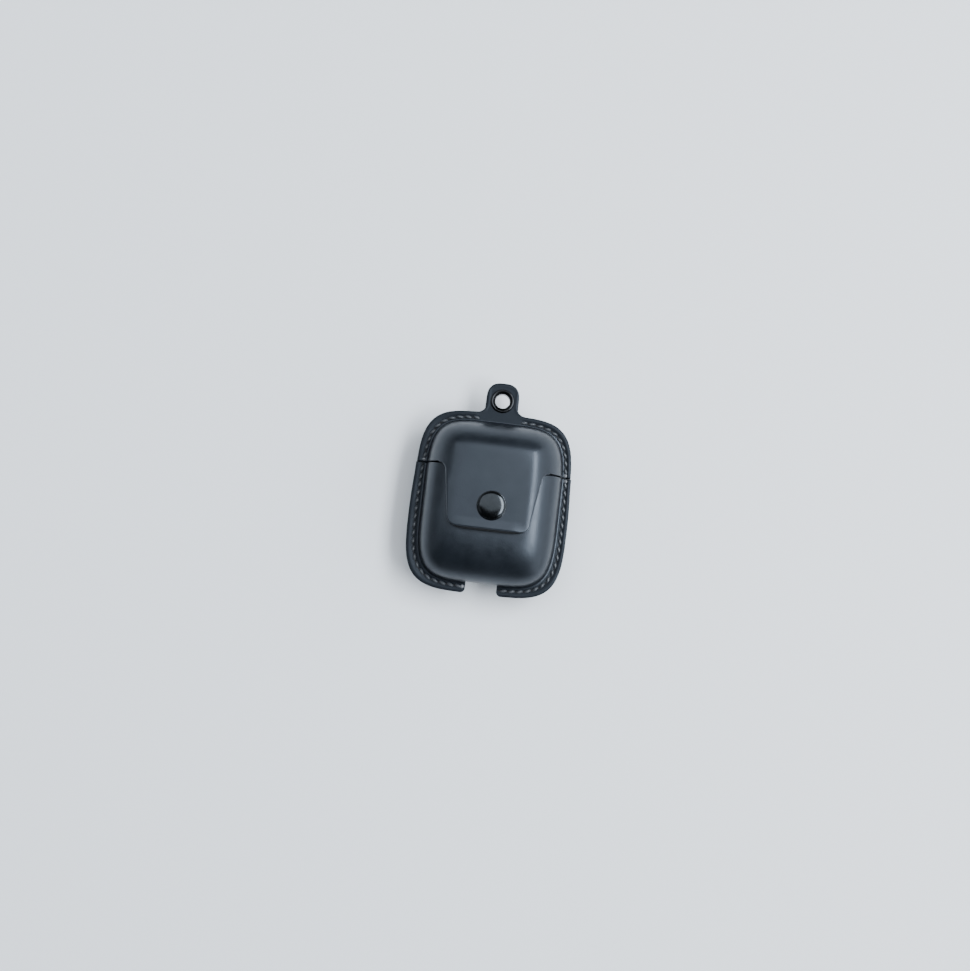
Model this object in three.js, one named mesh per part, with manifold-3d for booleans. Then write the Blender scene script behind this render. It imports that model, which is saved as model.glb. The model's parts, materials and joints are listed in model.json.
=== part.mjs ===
// A wireless earbuds charging case in a stitched leather cover, lying on its back.
// Millimetres. X is across, Y runs from the charge port to the hanging tab, Z is up
// through the snap. The origin is the middle of the flat back that the case lies on.
import * as THREE from "three";
import { mergeVertices } from "three/addons/utils/BufferGeometryUtils.js";
import Module from "manifold-3d";

const wasm = await Module();
wasm.setup();

// ---- driving dimensions ----
const CASE_WIDTH = 44.3;
const CASE_HEIGHT = 53.5;
const CASE_THICKNESS = 21.3;
const CASE_WALL = 1.4;
const COVER = 2.35; // from the charging case out to the face of the leather
const LEATHER = 1.5;
const LINING_OUTSIDE = -1.65; // offsets are measured outward from the face of the leather
const LINING_INSIDE = -2.1;
const FIT = 0.15; // clearance between fixed neighbours

const HALF_WIDTH = CASE_WIDTH / 2 + COVER;
const HALF_HEIGHT = CASE_HEIGHT / 2 + COVER;
const MID_Z = CASE_THICKNESS / 2 + COVER;
const EDGE = 11.85; // how far in from the outline the faces start to round over
const OUTLINE_POWER = 4.5; // squareness of the front outline
const EDGE_POWER = 2.3; // squareness of the rounded edge
const SEGMENTS = 36;
const EDGE_LEVELS = 4;

const SPLIT_Y = 12.3; // where the lid meets the body
const HINGE_Z = 3.6;
const LID_TRAVEL_HALF = (50 * Math.PI) / 180; // half angle of the relief behind the hinge
const COVER_SLIT = 0.3;
const SHELL_SLIT = 0.15;

const SEAM_Z = 12; // the plane where front and back leather are sewn together
const FLANGE_WIDE = 4.1;
const FLANGE_HIGH = 3.7;
const FLANGE_SHIFT_X = -0.45;
const LID_FLANGE_STEP = 0.4; // the lid's flange is a little narrower than the body's
const SEAM_INSET = 2.2;
const SEAM_THREAD = 0.9;
const PORT_NOTCH = 5.7; // half width of the gap in the flange for the charge plug
const PORT_HALF_HIGH = 3.3;

const TAB_HALF = 5.95;
const TAB_TOP = 44.1;
const EYELET_Y = 37.5;
const EYELET_BORE = 2.95;
const EYELET_RIM = 4.3;

const SNAP_Y = -1.2;
const FLAP_X = -0.5;
const FOLD_Y = 10.5;
const FLAP_END_Y = -9.5;
const FLAP_HALF_TOP = 17.4;
const FLAP_HALF_END = 14.3;
const FLAP_LINING = [0.6, 0.95];
const FLAP_LEATHER = [1.1, 2.6];
const SWELL_LENGTH = 9;
const FACE_Z = MID_Z * 2;

const BUD_X = 11.4;
const BUD_Y = 14;
const BUD_RADII = [6, 6.4, 6];
const STEM_RADIUS = 2.8;
const STEM_END_Y = -15.2;
const WELL_RADIUS = 3.9;
const TRAY_TOP = SPLIT_Y - 0.2;
const BUTTON_Y = -5.2;

// ---- materials ----
const finish = (color, roughness, metalness = 0) =>
  new THREE.MeshStandardMaterial({ color, roughness, metalness });
const MATERIALS = {
  leather: finish(0x23262b, 0.5),
  suede: finish(0x1b1c1f, 0.95),
  thread: finish(0x2e3136, 0.65),
  black_metal: finish(0x16181b, 0.28, 0.9),
  shell_plastic: finish(0x17181a, 0.22),
  tray_plastic: finish(0x1d1e20, 0.45),
  silicone: finish(0x26272a, 0.7),
  steel: finish(0xa8abae, 0.35, 1),
  mesh_metal: finish(0x77797c, 0.5, 1),
  copper: finish(0xb26a3c, 0.4, 1),
  ferrite: finish(0x3a3a3d, 0.8),
  board: finish(0x1e5a3a, 0.5),
  battery_foil: finish(0xb9bcc0, 0.4, 0.6),
  magnet: finish(0xc4c6c9, 0.25, 1),
  light_pipe: finish(0xe8efe6, 0.3),
};

// ---- solids ----
function solidOf(geometry) {
  const bare = geometry.clone();
  bare.deleteAttribute("normal");
  bare.deleteAttribute("uv");
  const merged = mergeVertices(bare, 1e-4);
  const kept = [];
  const index = merged.index.array;
  for (let i = 0; i < index.length; i += 3) {
    const [a, b, c] = [index[i], index[i + 1], index[i + 2]];
    if (a !== b && b !== c && c !== a) kept.push(a, b, c);
  }
  return new wasm.Manifold(
    new wasm.Mesh({
      numProp: 3,
      vertProperties: new Float32Array(merged.attributes.position.array),
      triVerts: new Uint32Array(kept),
    }),
  );
}

function geometryOf(solid) {
  const mesh = solid.getMesh();
  const count = mesh.numProp;
  const position = new Float32Array(mesh.numVert * 3);
  for (let i = 0; i < mesh.numVert; i++) {
    position.set(mesh.vertProperties.subarray(i * count, i * count + 3), i * 3);
  }
  const geometry = new THREE.BufferGeometry();
  geometry.setAttribute("position", new THREE.BufferAttribute(position, 3));
  geometry.setIndex(new THREE.BufferAttribute(mesh.triVerts, 1));
  geometry.computeVertexNormals();
  return geometry;
}

const block = (x0, x1, y0, y1, z0, z1) =>
  solidOf(
    new THREE.BoxGeometry(x1 - x0, y1 - y0, z1 - z0).translate(
      (x0 + x1) / 2,
      (y0 + y1) / 2,
      (z0 + z1) / 2,
    ),
  );

// A cylinder whose axis is "x", "y" or "z", from one end to the other along it.
function rod(axis, radius, from, to, centre, sides = 20) {
  const geometry = new THREE.CylinderGeometry(radius, radius, to - from, sides);
  const middle = (from + to) / 2;
  if (axis === "x") geometry.rotateZ(Math.PI / 2).translate(middle, ...centre);
  if (axis === "y") geometry.translate(centre[0], middle, centre[1]);
  if (axis === "z") geometry.rotateX(Math.PI / 2).translate(...centre, middle);
  return solidOf(geometry);
}

// A turned piece about Z at (x, y). The profile lists [radius, z], rising on the outside.
function turned(profile, x, y, sides = 28) {
  const points = profile.map(([radius, z]) => new THREE.Vector2(radius, z));
  const geometry = new THREE.LatheGeometry(points, sides);
  return solidOf(geometry.rotateX(Math.PI / 2).translate(x, y, 0));
}

// A prism along X whose section lists [y, z] anticlockwise.
function prismX(section, x0, x1) {
  const shape = new THREE.Shape(section.map(([y, z]) => new THREE.Vector2(y, z)));
  const geometry = new THREE.ExtrudeGeometry(shape, { depth: x1 - x0, bevelEnabled: false });
  const turn = new THREE.Matrix4().makeBasis(
    new THREE.Vector3(0, 1, 0),
    new THREE.Vector3(0, 0, 1),
    new THREE.Vector3(1, 0, 0),
  );
  return solidOf(geometry.applyMatrix4(turn).translate(x0, 0, 0));
}

function plate(shape, z0, z1, curveSegments = 6) {
  const settings = { depth: z1 - z0, bevelEnabled: false, curveSegments };
  return solidOf(new THREE.ExtrudeGeometry(shape, settings).translate(0, 0, z0));
}

// Distance from the centre to a rounded oblong of the given half sizes, at a polar angle.
function reach(halfX, halfY, angle) {
  const across = Math.abs(Math.cos(angle) / halfX) ** OUTLINE_POWER;
  const along = Math.abs(Math.sin(angle) / halfY) ** OUTLINE_POWER;
  return (across + along) ** (-1 / OUTLINE_POWER);
}

function outline(halfX, halfY, shiftX = 0, sides = 56) {
  const points = [];
  for (let i = 0; i < sides; i++) {
    const angle = (i / sides) * 2 * Math.PI;
    const r = reach(halfX, halfY, angle);
    points.push(new THREE.Vector2(shiftX + r * Math.cos(angle), r * Math.sin(angle)));
  }
  return new THREE.Shape(points);
}

// The soft-edged block that the charging case and every layer over it share, grown or
// shrunk by an offset from the face of the leather.
function pillow(offset) {
  const edge = EDGE + offset;
  const halfZ = MID_Z + offset;
  const plateauX = HALF_WIDTH - EDGE;
  const plateauY = HALF_HEIGHT - EDGE;
  const profile = [new THREE.Vector2(0, -halfZ)];
  for (let i = -EDGE_LEVELS; i <= EDGE_LEVELS; i++) {
    const t = (i / EDGE_LEVELS) * (Math.PI / 2);
    const out = Math.abs(Math.cos(t)) < 1e-9 ? 0 : Math.cos(t) ** (2 / EDGE_POWER);
    const up = Math.sign(t) * Math.abs(Math.sin(t)) ** (2 / EDGE_POWER);
    profile.push(new THREE.Vector2(plateauX + edge * out, halfZ * up));
  }
  profile.push(new THREE.Vector2(0, halfZ));
  const geometry = new THREE.LatheGeometry(profile, SEGMENTS).rotateX(Math.PI / 2);
  const position = geometry.attributes.position;
  for (let i = 0; i < position.count; i++) {
    const halfX = Math.hypot(position.getX(i), position.getY(i));
    const stretch = plateauY / plateauX;
    const halfY = halfX > plateauX ? halfX + plateauY - plateauX : halfX * stretch;
    const angle = Math.atan2(position.getY(i), position.getX(i));
    const r = halfX < 1e-6 ? 0 : reach(halfX, halfY, angle);
    position.setXYZ(
      i,
      r * Math.cos(angle),
      r * Math.sin(angle),
      position.getZ(i) + MID_Z,
    );
  }
  return solidOf(geometry);
}

const layer = (outside, inside) => pillow(outside).subtract(pillow(inside));

// What the body keeps and what the lid keeps: a straight slit in front of the hinge axis,
// and a widening relief behind it that lets the lid swing back.
function keep(side, slit) {
  const far = 80;
  const below = HINGE_Z + 10;
  const edgeY = SPLIT_Y + side * slit;
  const section = [
    [edgeY + side * below * Math.tan(LID_TRAVEL_HALF), HINGE_Z - below],
    [edgeY, HINGE_Z],
    [edgeY, far],
    [side * far, far],
    [side * far, HINGE_Z - below],
  ];
  if (side > 0) section.reverse();
  return prismX(section, -far, far);
}
const body = -1;
const lid = 1;
const frontHalf = block(-60, 60, -60, 60, SEAM_Z + FIT, 60);
const backHalf = block(-60, 60, -60, 60, -5, SEAM_Z - FIT);
const portGap = block(
  -PORT_NOTCH,
  PORT_NOTCH,
  -60,
  -24,
  MID_Z - PORT_HALF_HIGH,
  MID_Z + PORT_HALF_HIGH,
);

// ---- assembly ----
const assembly = new THREE.Group();
function add(name, material, solid) {
  const mesh = new THREE.Mesh(geometryOf(solid), MATERIALS[material]);
  mesh.name = name;
  assembly.add(mesh);
}

// Leather panels: the moulded shell with a flat sewing flange all round it.
function leatherPanel(side, half) {
  const step = side === lid ? LID_FLANGE_STEP : 0;
  const flange = plate(
    outline(
      HALF_WIDTH + FLANGE_WIDE - step,
      HALF_HEIGHT + FLANGE_HIGH - step / 2,
      FLANGE_SHIFT_X,
    ),
    SEAM_Z - LEATHER,
    SEAM_Z + LEATHER,
  );
  return pillow(0)
    .add(flange)
    .subtract(pillow(-LEATHER))
    .intersect(half)
    .intersect(keep(side, COVER_SLIT));
}
const liningPanel = (side, half) =>
  layer(LINING_OUTSIDE, LINING_INSIDE).intersect(half).intersect(keep(side, COVER_SLIT));

// The tongue at the root of the hanging tab is sewn between the two flanges.
const tongueGap = block(-8.3, 8.3, 29.9, 60, SEAM_Z - 0.4, SEAM_Z + 0.4);
const thumbNotch = plate(
  new THREE.Shape()
    .moveTo(-9, SPLIT_Y + 2)
    .lineTo(-9, SPLIT_Y - 2)
    .quadraticCurveTo(-8, SPLIT_Y - 7, 0, SPLIT_Y - 7)
    .quadraticCurveTo(8, SPLIT_Y - 7, 9, SPLIT_Y - 2)
    .lineTo(9, SPLIT_Y + 2),
  20,
  40,
);

add(
  "base_front_leather",
  "leather",
  leatherPanel(body, frontHalf)
    .subtract(portGap)
    .subtract(thumbNotch)
    .subtract(rod("z", 1.7, 20, 40, [0, SNAP_Y])),
);
add("base_back_leather", "leather", leatherPanel(body, backHalf).subtract(portGap));
add(
  "base_front_lining",
  "suede",
  liningPanel(body, frontHalf)
    .subtract(portGap)
    .subtract(thumbNotch)
    .subtract(rod("z", 3.9, 20, 40, [0, SNAP_Y])),
);
add("base_back_lining", "suede", liningPanel(body, backHalf).subtract(portGap));

// The lid's front leather swells toward the slit and carries the root of the flap,
// which stands clear of the body's front.
const flapFace = FACE_Z + FLAP_LEATHER[1];
const swell = prismX(
  [
    [FOLD_Y + 0.3, 18],
    [SPLIT_Y + SWELL_LENGTH, 18],
    [SPLIT_Y + SWELL_LENGTH, FACE_Z - 1],
    [SPLIT_Y + 1, flapFace + 0.1],
    [FOLD_Y + 0.3, flapFace + 0.1],
  ],
  FLAP_X - FLAP_HALF_TOP,
  FLAP_X + FLAP_HALF_TOP,
);
const overBody = layer(FLAP_LEATHER[1], FLAP_LINING[0]).intersect(
  block(-30, 30, FOLD_Y, SPLIT_Y + 1, 18, 40),
);
const overLid = layer(FLAP_LEATHER[1], -LEATHER).intersect(
  block(-30, 30, SPLIT_Y + 0.5, SPLIT_Y + SWELL_LENGTH, 18, 40),
);
const flapRoot = overBody.add(overLid).intersect(swell);
add(
  "lid_front_leather",
  "leather",
  leatherPanel(lid, frontHalf).add(flapRoot).subtract(tongueGap),
);
add("lid_back_leather", "leather", leatherPanel(lid, backHalf).subtract(tongueGap));
add("lid_front_lining", "suede", liningPanel(lid, frontHalf));
add("lid_back_lining", "suede", liningPanel(lid, backHalf));

// Sewing thread: one run a side on the body and on the lid.
function seamRun(side, hand) {
  const ring = (inset) =>
    plate(
      outline(
        HALF_WIDTH + FLANGE_WIDE - inset,
        HALF_HEIGHT + FLANGE_HIGH - inset,
        FLANGE_SHIFT_X,
      ),
      SEAM_Z + LEATHER + 0.1,
      SEAM_Z + LEATHER + 0.1 + SEAM_THREAD,
    );
  const run = ring(SEAM_INSET - SEAM_THREAD / 2).subtract(ring(SEAM_INSET + SEAM_THREAD / 2));
  const near = side === lid ? 8.6 : PORT_NOTCH + 0.6;
  const half = hand < 0 ? block(-60, -near, -60, 60, 0, 40) : block(near, 60, -60, 60, 0, 40);
  return run
    .intersect(half)
    .intersect(keep(side, COVER_SLIT + 0.8))
    .subtract(pillow(0.1));
}
add("base_seam_thread_left", "thread", seamRun(body, -1));
add("base_seam_thread_right", "thread", seamRun(body, 1));
add("lid_seam_thread_left", "thread", seamRun(lid, -1));
add("lid_seam_thread_right", "thread", seamRun(lid, 1));

// Hanging tab with a two-part eyelet.
const tabOutline = (shrink) =>
  new THREE.Shape()
    .moveTo(-8.2, HALF_HEIGHT + FLANGE_HIGH + 0.3)
    .quadraticCurveTo(-TAB_HALF + shrink, 34, -TAB_HALF + shrink, 37)
    .lineTo(-TAB_HALF + shrink, TAB_TOP - 5)
    .quadraticCurveTo(-TAB_HALF + shrink, TAB_TOP - shrink, 0, TAB_TOP - shrink)
    .quadraticCurveTo(TAB_HALF - shrink, TAB_TOP - shrink, TAB_HALF - shrink, TAB_TOP - 5)
    .lineTo(TAB_HALF - shrink, 37)
    .quadraticCurveTo(TAB_HALF - shrink, 34, 8.2, HALF_HEIGHT + FLANGE_HIGH + 0.3);
const tongue = block(-8, 8, 30.2, HALF_HEIGHT + FLANGE_HIGH + 1, SEAM_Z - 0.25, SEAM_Z + 0.25);
add(
  "hang_tab",
  "leather",
  plate(tabOutline(0), SEAM_Z - LEATHER, SEAM_Z + LEATHER)
    .add(tongue)
    .subtract(rod("z", EYELET_BORE + 0.55, 0, 40, [0, EYELET_Y], 28)),
);
const tabFront = SEAM_Z + LEATHER;
const tabBack = SEAM_Z - LEATHER;
add(
  "eyelet_barrel",
  "black_metal",
  turned(
    [
      [EYELET_BORE, tabBack - 0.55],
      [EYELET_BORE + 0.4, tabBack - 0.55],
      [EYELET_BORE + 0.4, tabFront + 0.1],
      [EYELET_RIM, tabFront + 0.1],
      [EYELET_RIM, tabFront + 0.35],
      [EYELET_RIM - 0.5, tabFront + 0.75],
      [EYELET_BORE + 0.3, tabFront + 0.75],
      [EYELET_BORE, tabFront + 0.4],
      [EYELET_BORE, tabBack - 0.55],
    ],
    0,
    EYELET_Y,
  ),
);
add(
  "eyelet_washer",
  "black_metal",
  turned(
    [
      [EYELET_BORE + 0.55, tabBack - 0.5],
      [EYELET_RIM, tabBack - 0.5],
      [EYELET_RIM, tabBack - 0.1],
      [EYELET_BORE + 0.55, tabBack - 0.1],
      [EYELET_BORE + 0.55, tabBack - 0.5],
    ],
    0,
    EYELET_Y,
  ),
);

// Leather strip across the relief behind the hinge.
const stripHalf = (z) => (HINGE_Z - z) * Math.tan(LID_TRAVEL_HALF);
add(
  "hinge_strip",
  "leather",
  prismX(
    [
      [SPLIT_Y - stripHalf(0.25), 0.25],
      [SPLIT_Y + stripHalf(0.25), 0.25],
      [SPLIT_Y + stripHalf(1.6), 1.6],
      [SPLIT_Y - stripHalf(1.6), 1.6],
    ],
    -13,
    13,
  ),
);

// Flap and snap fastener.
const flapShape = new THREE.Shape()
  .moveTo(FLAP_X - FLAP_HALF_TOP, FOLD_Y - 0.3)
  .lineTo(FLAP_X - FLAP_HALF_END - 0.3, FLAP_END_Y + 2.6)
  .quadraticCurveTo(FLAP_X - FLAP_HALF_END, FLAP_END_Y, FLAP_X - FLAP_HALF_END + 3, FLAP_END_Y)
  .lineTo(FLAP_X + FLAP_HALF_END - 3, FLAP_END_Y)
  .quadraticCurveTo(FLAP_X + FLAP_HALF_END, FLAP_END_Y, FLAP_X + FLAP_HALF_END + 0.3, FLAP_END_Y + 2.6)
  .lineTo(FLAP_X + FLAP_HALF_TOP, FOLD_Y - 0.3);
const flapPrism = plate(flapShape, 18, 40);
const socketTop = FACE_Z + 1.9;
add(
  "flap_leather",
  "leather",
  layer(FLAP_LEATHER[1], FLAP_LEATHER[0])
    .intersect(flapPrism)
    .subtract(rod("z", 4.65, 20, socketTop + 0.15, [0, SNAP_Y], 24))
    .subtract(rod("z", 1.7, 20, 40, [0, SNAP_Y])),
);
add(
  "flap_lining",
  "suede",
  layer(FLAP_LINING[1], FLAP_LINING[0])
    .intersect(flapPrism)
    .subtract(rod("z", 4.65, 20, 40, [0, SNAP_Y], 24)),
);
const capBase = FACE_Z + FLAP_LEATHER[1] + 0.1;
add(
  "snap_cap",
  "black_metal",
  turned(
    [
      [0, socketTop + 0.1],
      [1.4, socketTop + 0.1],
      [1.4, capBase],
      [5.1, capBase],
      [5.2, capBase + 0.3],
      [4.6, capBase + 0.95],
      [3.3, capBase + 1.4],
      [1.7, capBase + 1.65],
      [0, capBase + 1.7],
    ],
    0,
    SNAP_Y,
  ),
);
add(
  "snap_socket",
  "black_metal",
  turned(
    [
      [2.6, FACE_Z + 0.6],
      [4.4, FACE_Z + 0.6],
      [4.4, socketTop],
      [0, socketTop],
      [0, socketTop - 0.15],
      [3.3, socketTop - 0.15],
      [3.3, FACE_Z + 1.1],
      [2.6, FACE_Z + 1.1],
      [2.6, FACE_Z + 0.6],
    ],
    0,
    SNAP_Y,
    24,
  ),
);
add(
  "snap_spring_ring",
  "steel",
  turned(
    [
      [2.65, FACE_Z + 1.2],
      [3.15, FACE_Z + 1.2],
      [3.15, FACE_Z + 1.6],
      [2.65, FACE_Z + 1.6],
      [2.65, FACE_Z + 1.2],
    ],
    0,
    SNAP_Y,
    20,
  ),
);
add(
  "snap_stud",
  "black_metal",
  turned(
    [
      [0, FACE_Z - LEATHER + 0.1],
      [1.4, FACE_Z - LEATHER + 0.1],
      [1.4, FACE_Z + 0.1],
      [3.4, FACE_Z + 0.1],
      [3.4, FACE_Z + 0.4],
      [2, FACE_Z + 0.4],
      [1.6, FACE_Z + 1],
      [1.05, FACE_Z + 1.35],
      [0, FACE_Z + 1.5],
    ],
    0,
    SNAP_Y,
  ),
);
add(
  "snap_rivet",
  "black_metal",
  rod("z", 3.6, FACE_Z - LEATHER - 0.5, FACE_Z - LEATHER - 0.05, [0, SNAP_Y]),
);

// ---- charging case ----
const caseFace = -COVER;
const caseInner = caseFace - CASE_WALL;
const hingeRelief = rod("x", 1.75, -12.2, 12.2, [SPLIT_Y, HINGE_Z]);
const shell = (side) => layer(caseFace, caseInner).intersect(keep(side, SHELL_SLIT));
add(
  "case_body_shell",
  "shell_plastic",
  shell(body)
    .subtract(hingeRelief)
    .subtract(block(-4.9, 4.9, -30, -20, MID_Z - 2, MID_Z + 2))
    .subtract(rod("z", 1, 15, 30, [0, SPLIT_Y - 4.5]))
    .subtract(rod("z", 2.9, 0, 6, [0, BUTTON_Y])),
);
add("case_lid_shell", "shell_plastic", shell(lid).subtract(hingeRelief));

const hands = { left: -1, right: 1 };
function budHead(hand, grow) {
  const ball = new THREE.SphereGeometry(1, 16, 10);
  ball.scale(...BUD_RADII.map((r) => r + grow)).translate(hand * BUD_X, BUD_Y, MID_Z);
  return solidOf(ball);
}

let tray = pillow(caseInner - FIT)
  .intersect(block(-60, 60, SPLIT_Y - 6.1, TRAY_TOP, 0, 40))
  .subtract(block(-12.4, 12.4, 0, 30, 0, 5.7));
for (const hand of Object.values(hands)) {
  tray = tray.add(rod("y", WELL_RADIUS, -17.6, SPLIT_Y - 5, [hand * BUD_X, MID_Z]));
}
for (const hand of Object.values(hands)) {
  tray = tray
    .subtract(budHead(hand, 0.35))
    .subtract(rod("y", 3.1, -16.6, 30, [hand * BUD_X, MID_Z]))
    .subtract(rod("y", 1.1, -30, -10, [hand * BUD_X, MID_Z], 12));
}
add(
  "earbud_tray",
  "tray_plastic",
  tray
    .subtract(block(-3.15, 3.15, 10.1, 30, 18.9, 21.1))
    .subtract(rod("z", 1.05, 18.6, 30, [0, SPLIT_Y - 4.5], 16)),
);
add("tray_magnet", "magnet", block(-3, 3, 10.25, TRAY_TOP - 0.05, 19.05, 20.95));

const linerOut = caseInner - FIT;
const linerIn = linerOut - 1;
const lidSpace = block(-60, 60, SPLIT_Y + 0.4, 60, 0, 40);
const liner = layer(linerOut, linerIn)
  .add(
    block(-2.4, 2.4, SPLIT_Y + 0.4, 60, 0, 40)
      .add(block(-3.8, 3.8, SPLIT_Y + 0.4, 15.2, 18.3, 40))
      .intersect(pillow(linerOut)),
  )
  .intersect(lidSpace)
  .subtract(block(-12.4, 12.4, 0, SPLIT_Y + 7.5, 0, 5.5))
  .subtract(block(-3.15, 3.15, 0, 14.5, 18.9, 21.1));
add("lid_liner", "tray_plastic", liner);
add("lid_magnet", "magnet", block(-3, 3, SPLIT_Y + 0.5, 14.35, 19.05, 20.95));

// Hinge of the charging case: knuckles on a pin, with a torsion spring beside them.
const knuckle = (x0, x1) => rod("x", 1.25, x0, x1, [SPLIT_Y, HINGE_Z], 16);
const pinHole = rod("x", 0.72, -30, 30, [SPLIT_Y, HINGE_Z], 12);
const leafZ = [3.9, 4.6];
add(
  "hinge_body_leaf",
  "steel",
  block(-8, 8, SPLIT_Y - 5.2, SPLIT_Y - 1.6, ...leafZ)
    .add(block(-8, -5, SPLIT_Y - 2, SPLIT_Y, ...leafZ))
    .add(block(5, 8, SPLIT_Y - 2, SPLIT_Y, ...leafZ))
    .add(knuckle(-8, -5))
    .add(knuckle(5, 8))
    .subtract(pinHole),
);
add(
  "hinge_lid_leaf",
  "steel",
  block(-4.7, 4.7, SPLIT_Y, SPLIT_Y + 4.6, ...leafZ)
    .add(knuckle(-4.7, 4.7))
    .subtract(pinHole),
);
add("hinge_pin", "steel", rod("x", 0.62, -11.8, 11.8, [SPLIT_Y, HINGE_Z], 12));

const springTurns = 2.5;
const springPath = new THREE.CatmullRomCurve3(
  Array.from({ length: 31 }, (_, i) => {
    const angle = (i / 30) * springTurns * 2 * Math.PI;
    return new THREE.Vector3(
      8.7 + (2.4 * i) / 30,
      SPLIT_Y + 1.05 * Math.cos(angle),
      HINGE_Z + 1.05 * Math.sin(angle),
    );
  }),
);
const wireSection = new THREE.Shape(
  Array.from({ length: 8 }, (_, i) => {
    const angle = (i / 8) * 2 * Math.PI;
    return new THREE.Vector2(0.2 * Math.cos(angle), 0.2 * Math.sin(angle));
  }),
);
add(
  "hinge_spring",
  "steel",
  solidOf(new THREE.ExtrudeGeometry(wireSection, { steps: 36, extrudePath: springPath })),
);

// Electronics.
add(
  "battery_cell",
  "battery_foil",
  plate(
    outline(6.6, 11.5, 0, 28),
    8,
    18,
  ).translate([0, -6, 0]),
);
add("main_board", "board", block(-10, 10, -18, 1, 6, 6.8));
add(
  "charging_coil",
  "copper",
  turned(
    [
      [5.5, 4.05],
      [11.5, 4.05],
      [11.5, 4.65],
      [5.5, 4.65],
      [5.5, 4.05],
    ],
    0,
    BUTTON_Y,
    32,
  ),
);
add(
  "ferrite_sheet",
  "ferrite",
  turned(
    [
      [3.7, 4.85],
      [11.8, 4.85],
      [11.8, 5.3],
      [3.7, 5.3],
      [3.7, 4.85],
    ],
    0,
    BUTTON_Y,
    32,
  ),
);
const portShell = block(-4.7, 4.7, -26.4, -19.5, MID_Z - 1.8, MID_Z + 1.8).subtract(
  block(-4.25, 4.25, -30, -20.2, MID_Z - 1.35, MID_Z + 1.35),
);
add(
  "charge_port",
  "steel",
  portShell.add(block(-3.2, 3.2, -25.4, -19.8, MID_Z - 0.35, MID_Z + 0.35)),
);
add("status_light", "light_pipe", rod("z", 0.8, 19, 23.5, [0, SPLIT_Y - 4.5], 16));
add("button_switch", "tray_plastic", block(-1.8, 1.8, BUTTON_Y - 1.8, BUTTON_Y + 1.8, 5.35, 5.9));
add(
  "pair_button",
  "shell_plastic",
  turned(
    [
      [0, 2.5],
      [2.4, 2.5],
      [2.6, 2.7],
      [2.6, 3.9],
      [3.2, 3.9],
      [3.2, 4.25],
      [0.9, 4.25],
      [0.9, 4.85],
      [0, 4.85],
    ],
    0,
    BUTTON_Y,
    20,
  ),
);

// Earbuds, one in each well.
for (const [name, hand] of Object.entries(hands)) {
  const centre = [hand * BUD_X, MID_Z];
  const tipAt = [15.4, MID_Z];
  const inward = (near, farther) => [hand * near, hand * farther].sort((a, b) => a - b);
  add(
    `charge_contact_${name}`,
    "steel",
    rod("y", 0.85, -18.4, STEM_END_Y - 0.25, centre, 12).add(
      rod("y", 2, -18.9, -17.8, centre, 16),
    ),
  );
  add(
    `earbud_${name}_housing`,
    "shell_plastic",
    budHead(hand, 0)
      .add(rod("y", STEM_RADIUS, STEM_END_Y + 1.7, BUD_Y, centre))
      .subtract(rod("x", 2.1, ...inward(0, 6.9), tipAt, 16)),
  );
  add(
    `earbud_${name}_stem_cap`,
    "mesh_metal",
    rod("y", STEM_RADIUS, STEM_END_Y, STEM_END_Y + 1.6, centre),
  );
  add(
    `earbud_${name}_ear_tip`,
    "silicone",
    rod("x", 1.95, ...inward(3.4, 6.7), tipAt, 16)
      .add(
        solidOf(
          new THREE.SphereGeometry(3, 16, 10).scale(0.62, 1, 1).translate(hand * 5, ...tipAt),
        ),
      )
      .subtract(budHead(hand, 0.2).subtract(rod("x", 2.05, ...inward(0, 9), tipAt, 16)))
      .subtract(rod("x", 1.3, ...inward(0, 6), tipAt, 12))
      .intersect(block(...inward(2.8, 6.7), 0, 30, 0, 30)),
  );
  add(
    `earbud_${name}_speaker_mesh`,
    "mesh_metal",
    rod("x", 1.15, ...inward(3.3, 3.6), tipAt, 12),
  );
}

export default assembly;
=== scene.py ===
import json
import math

import bmesh
import bpy
import numpy as np
from mathutils import Matrix, Vector


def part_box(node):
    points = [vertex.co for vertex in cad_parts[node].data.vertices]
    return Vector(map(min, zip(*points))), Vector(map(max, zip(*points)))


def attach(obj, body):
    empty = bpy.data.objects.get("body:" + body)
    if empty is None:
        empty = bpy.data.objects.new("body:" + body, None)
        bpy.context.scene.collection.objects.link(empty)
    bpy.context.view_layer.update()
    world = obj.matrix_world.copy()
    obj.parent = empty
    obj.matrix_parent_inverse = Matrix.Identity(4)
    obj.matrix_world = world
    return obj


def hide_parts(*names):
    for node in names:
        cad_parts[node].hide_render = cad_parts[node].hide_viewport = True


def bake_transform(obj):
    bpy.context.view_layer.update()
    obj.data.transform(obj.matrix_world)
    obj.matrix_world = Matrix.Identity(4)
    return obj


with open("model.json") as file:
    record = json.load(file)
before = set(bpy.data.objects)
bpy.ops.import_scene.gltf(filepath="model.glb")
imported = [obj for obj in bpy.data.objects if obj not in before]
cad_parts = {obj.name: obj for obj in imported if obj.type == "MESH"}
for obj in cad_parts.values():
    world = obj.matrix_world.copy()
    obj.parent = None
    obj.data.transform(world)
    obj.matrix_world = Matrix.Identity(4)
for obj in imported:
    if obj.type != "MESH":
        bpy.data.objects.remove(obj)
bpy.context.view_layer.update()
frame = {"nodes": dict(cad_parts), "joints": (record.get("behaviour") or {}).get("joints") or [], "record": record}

# A stitched leather cover round an earbuds charging case, lying on its back.
# Shapes are worked out in millimetres, in the CAD frame, and put in place in metres.
MM = 0.001
FAR = 60  # farther out than anything, for a cut that goes right through


def box_mm(node):
    low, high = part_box(node)
    return np.array(low) / MM, np.array(high) / MM


def joint_mm(name):
    joint = next(j for j in frame["joints"] if j["name"] == name)
    return np.array(joint["pos_m"]) / MM


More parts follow.
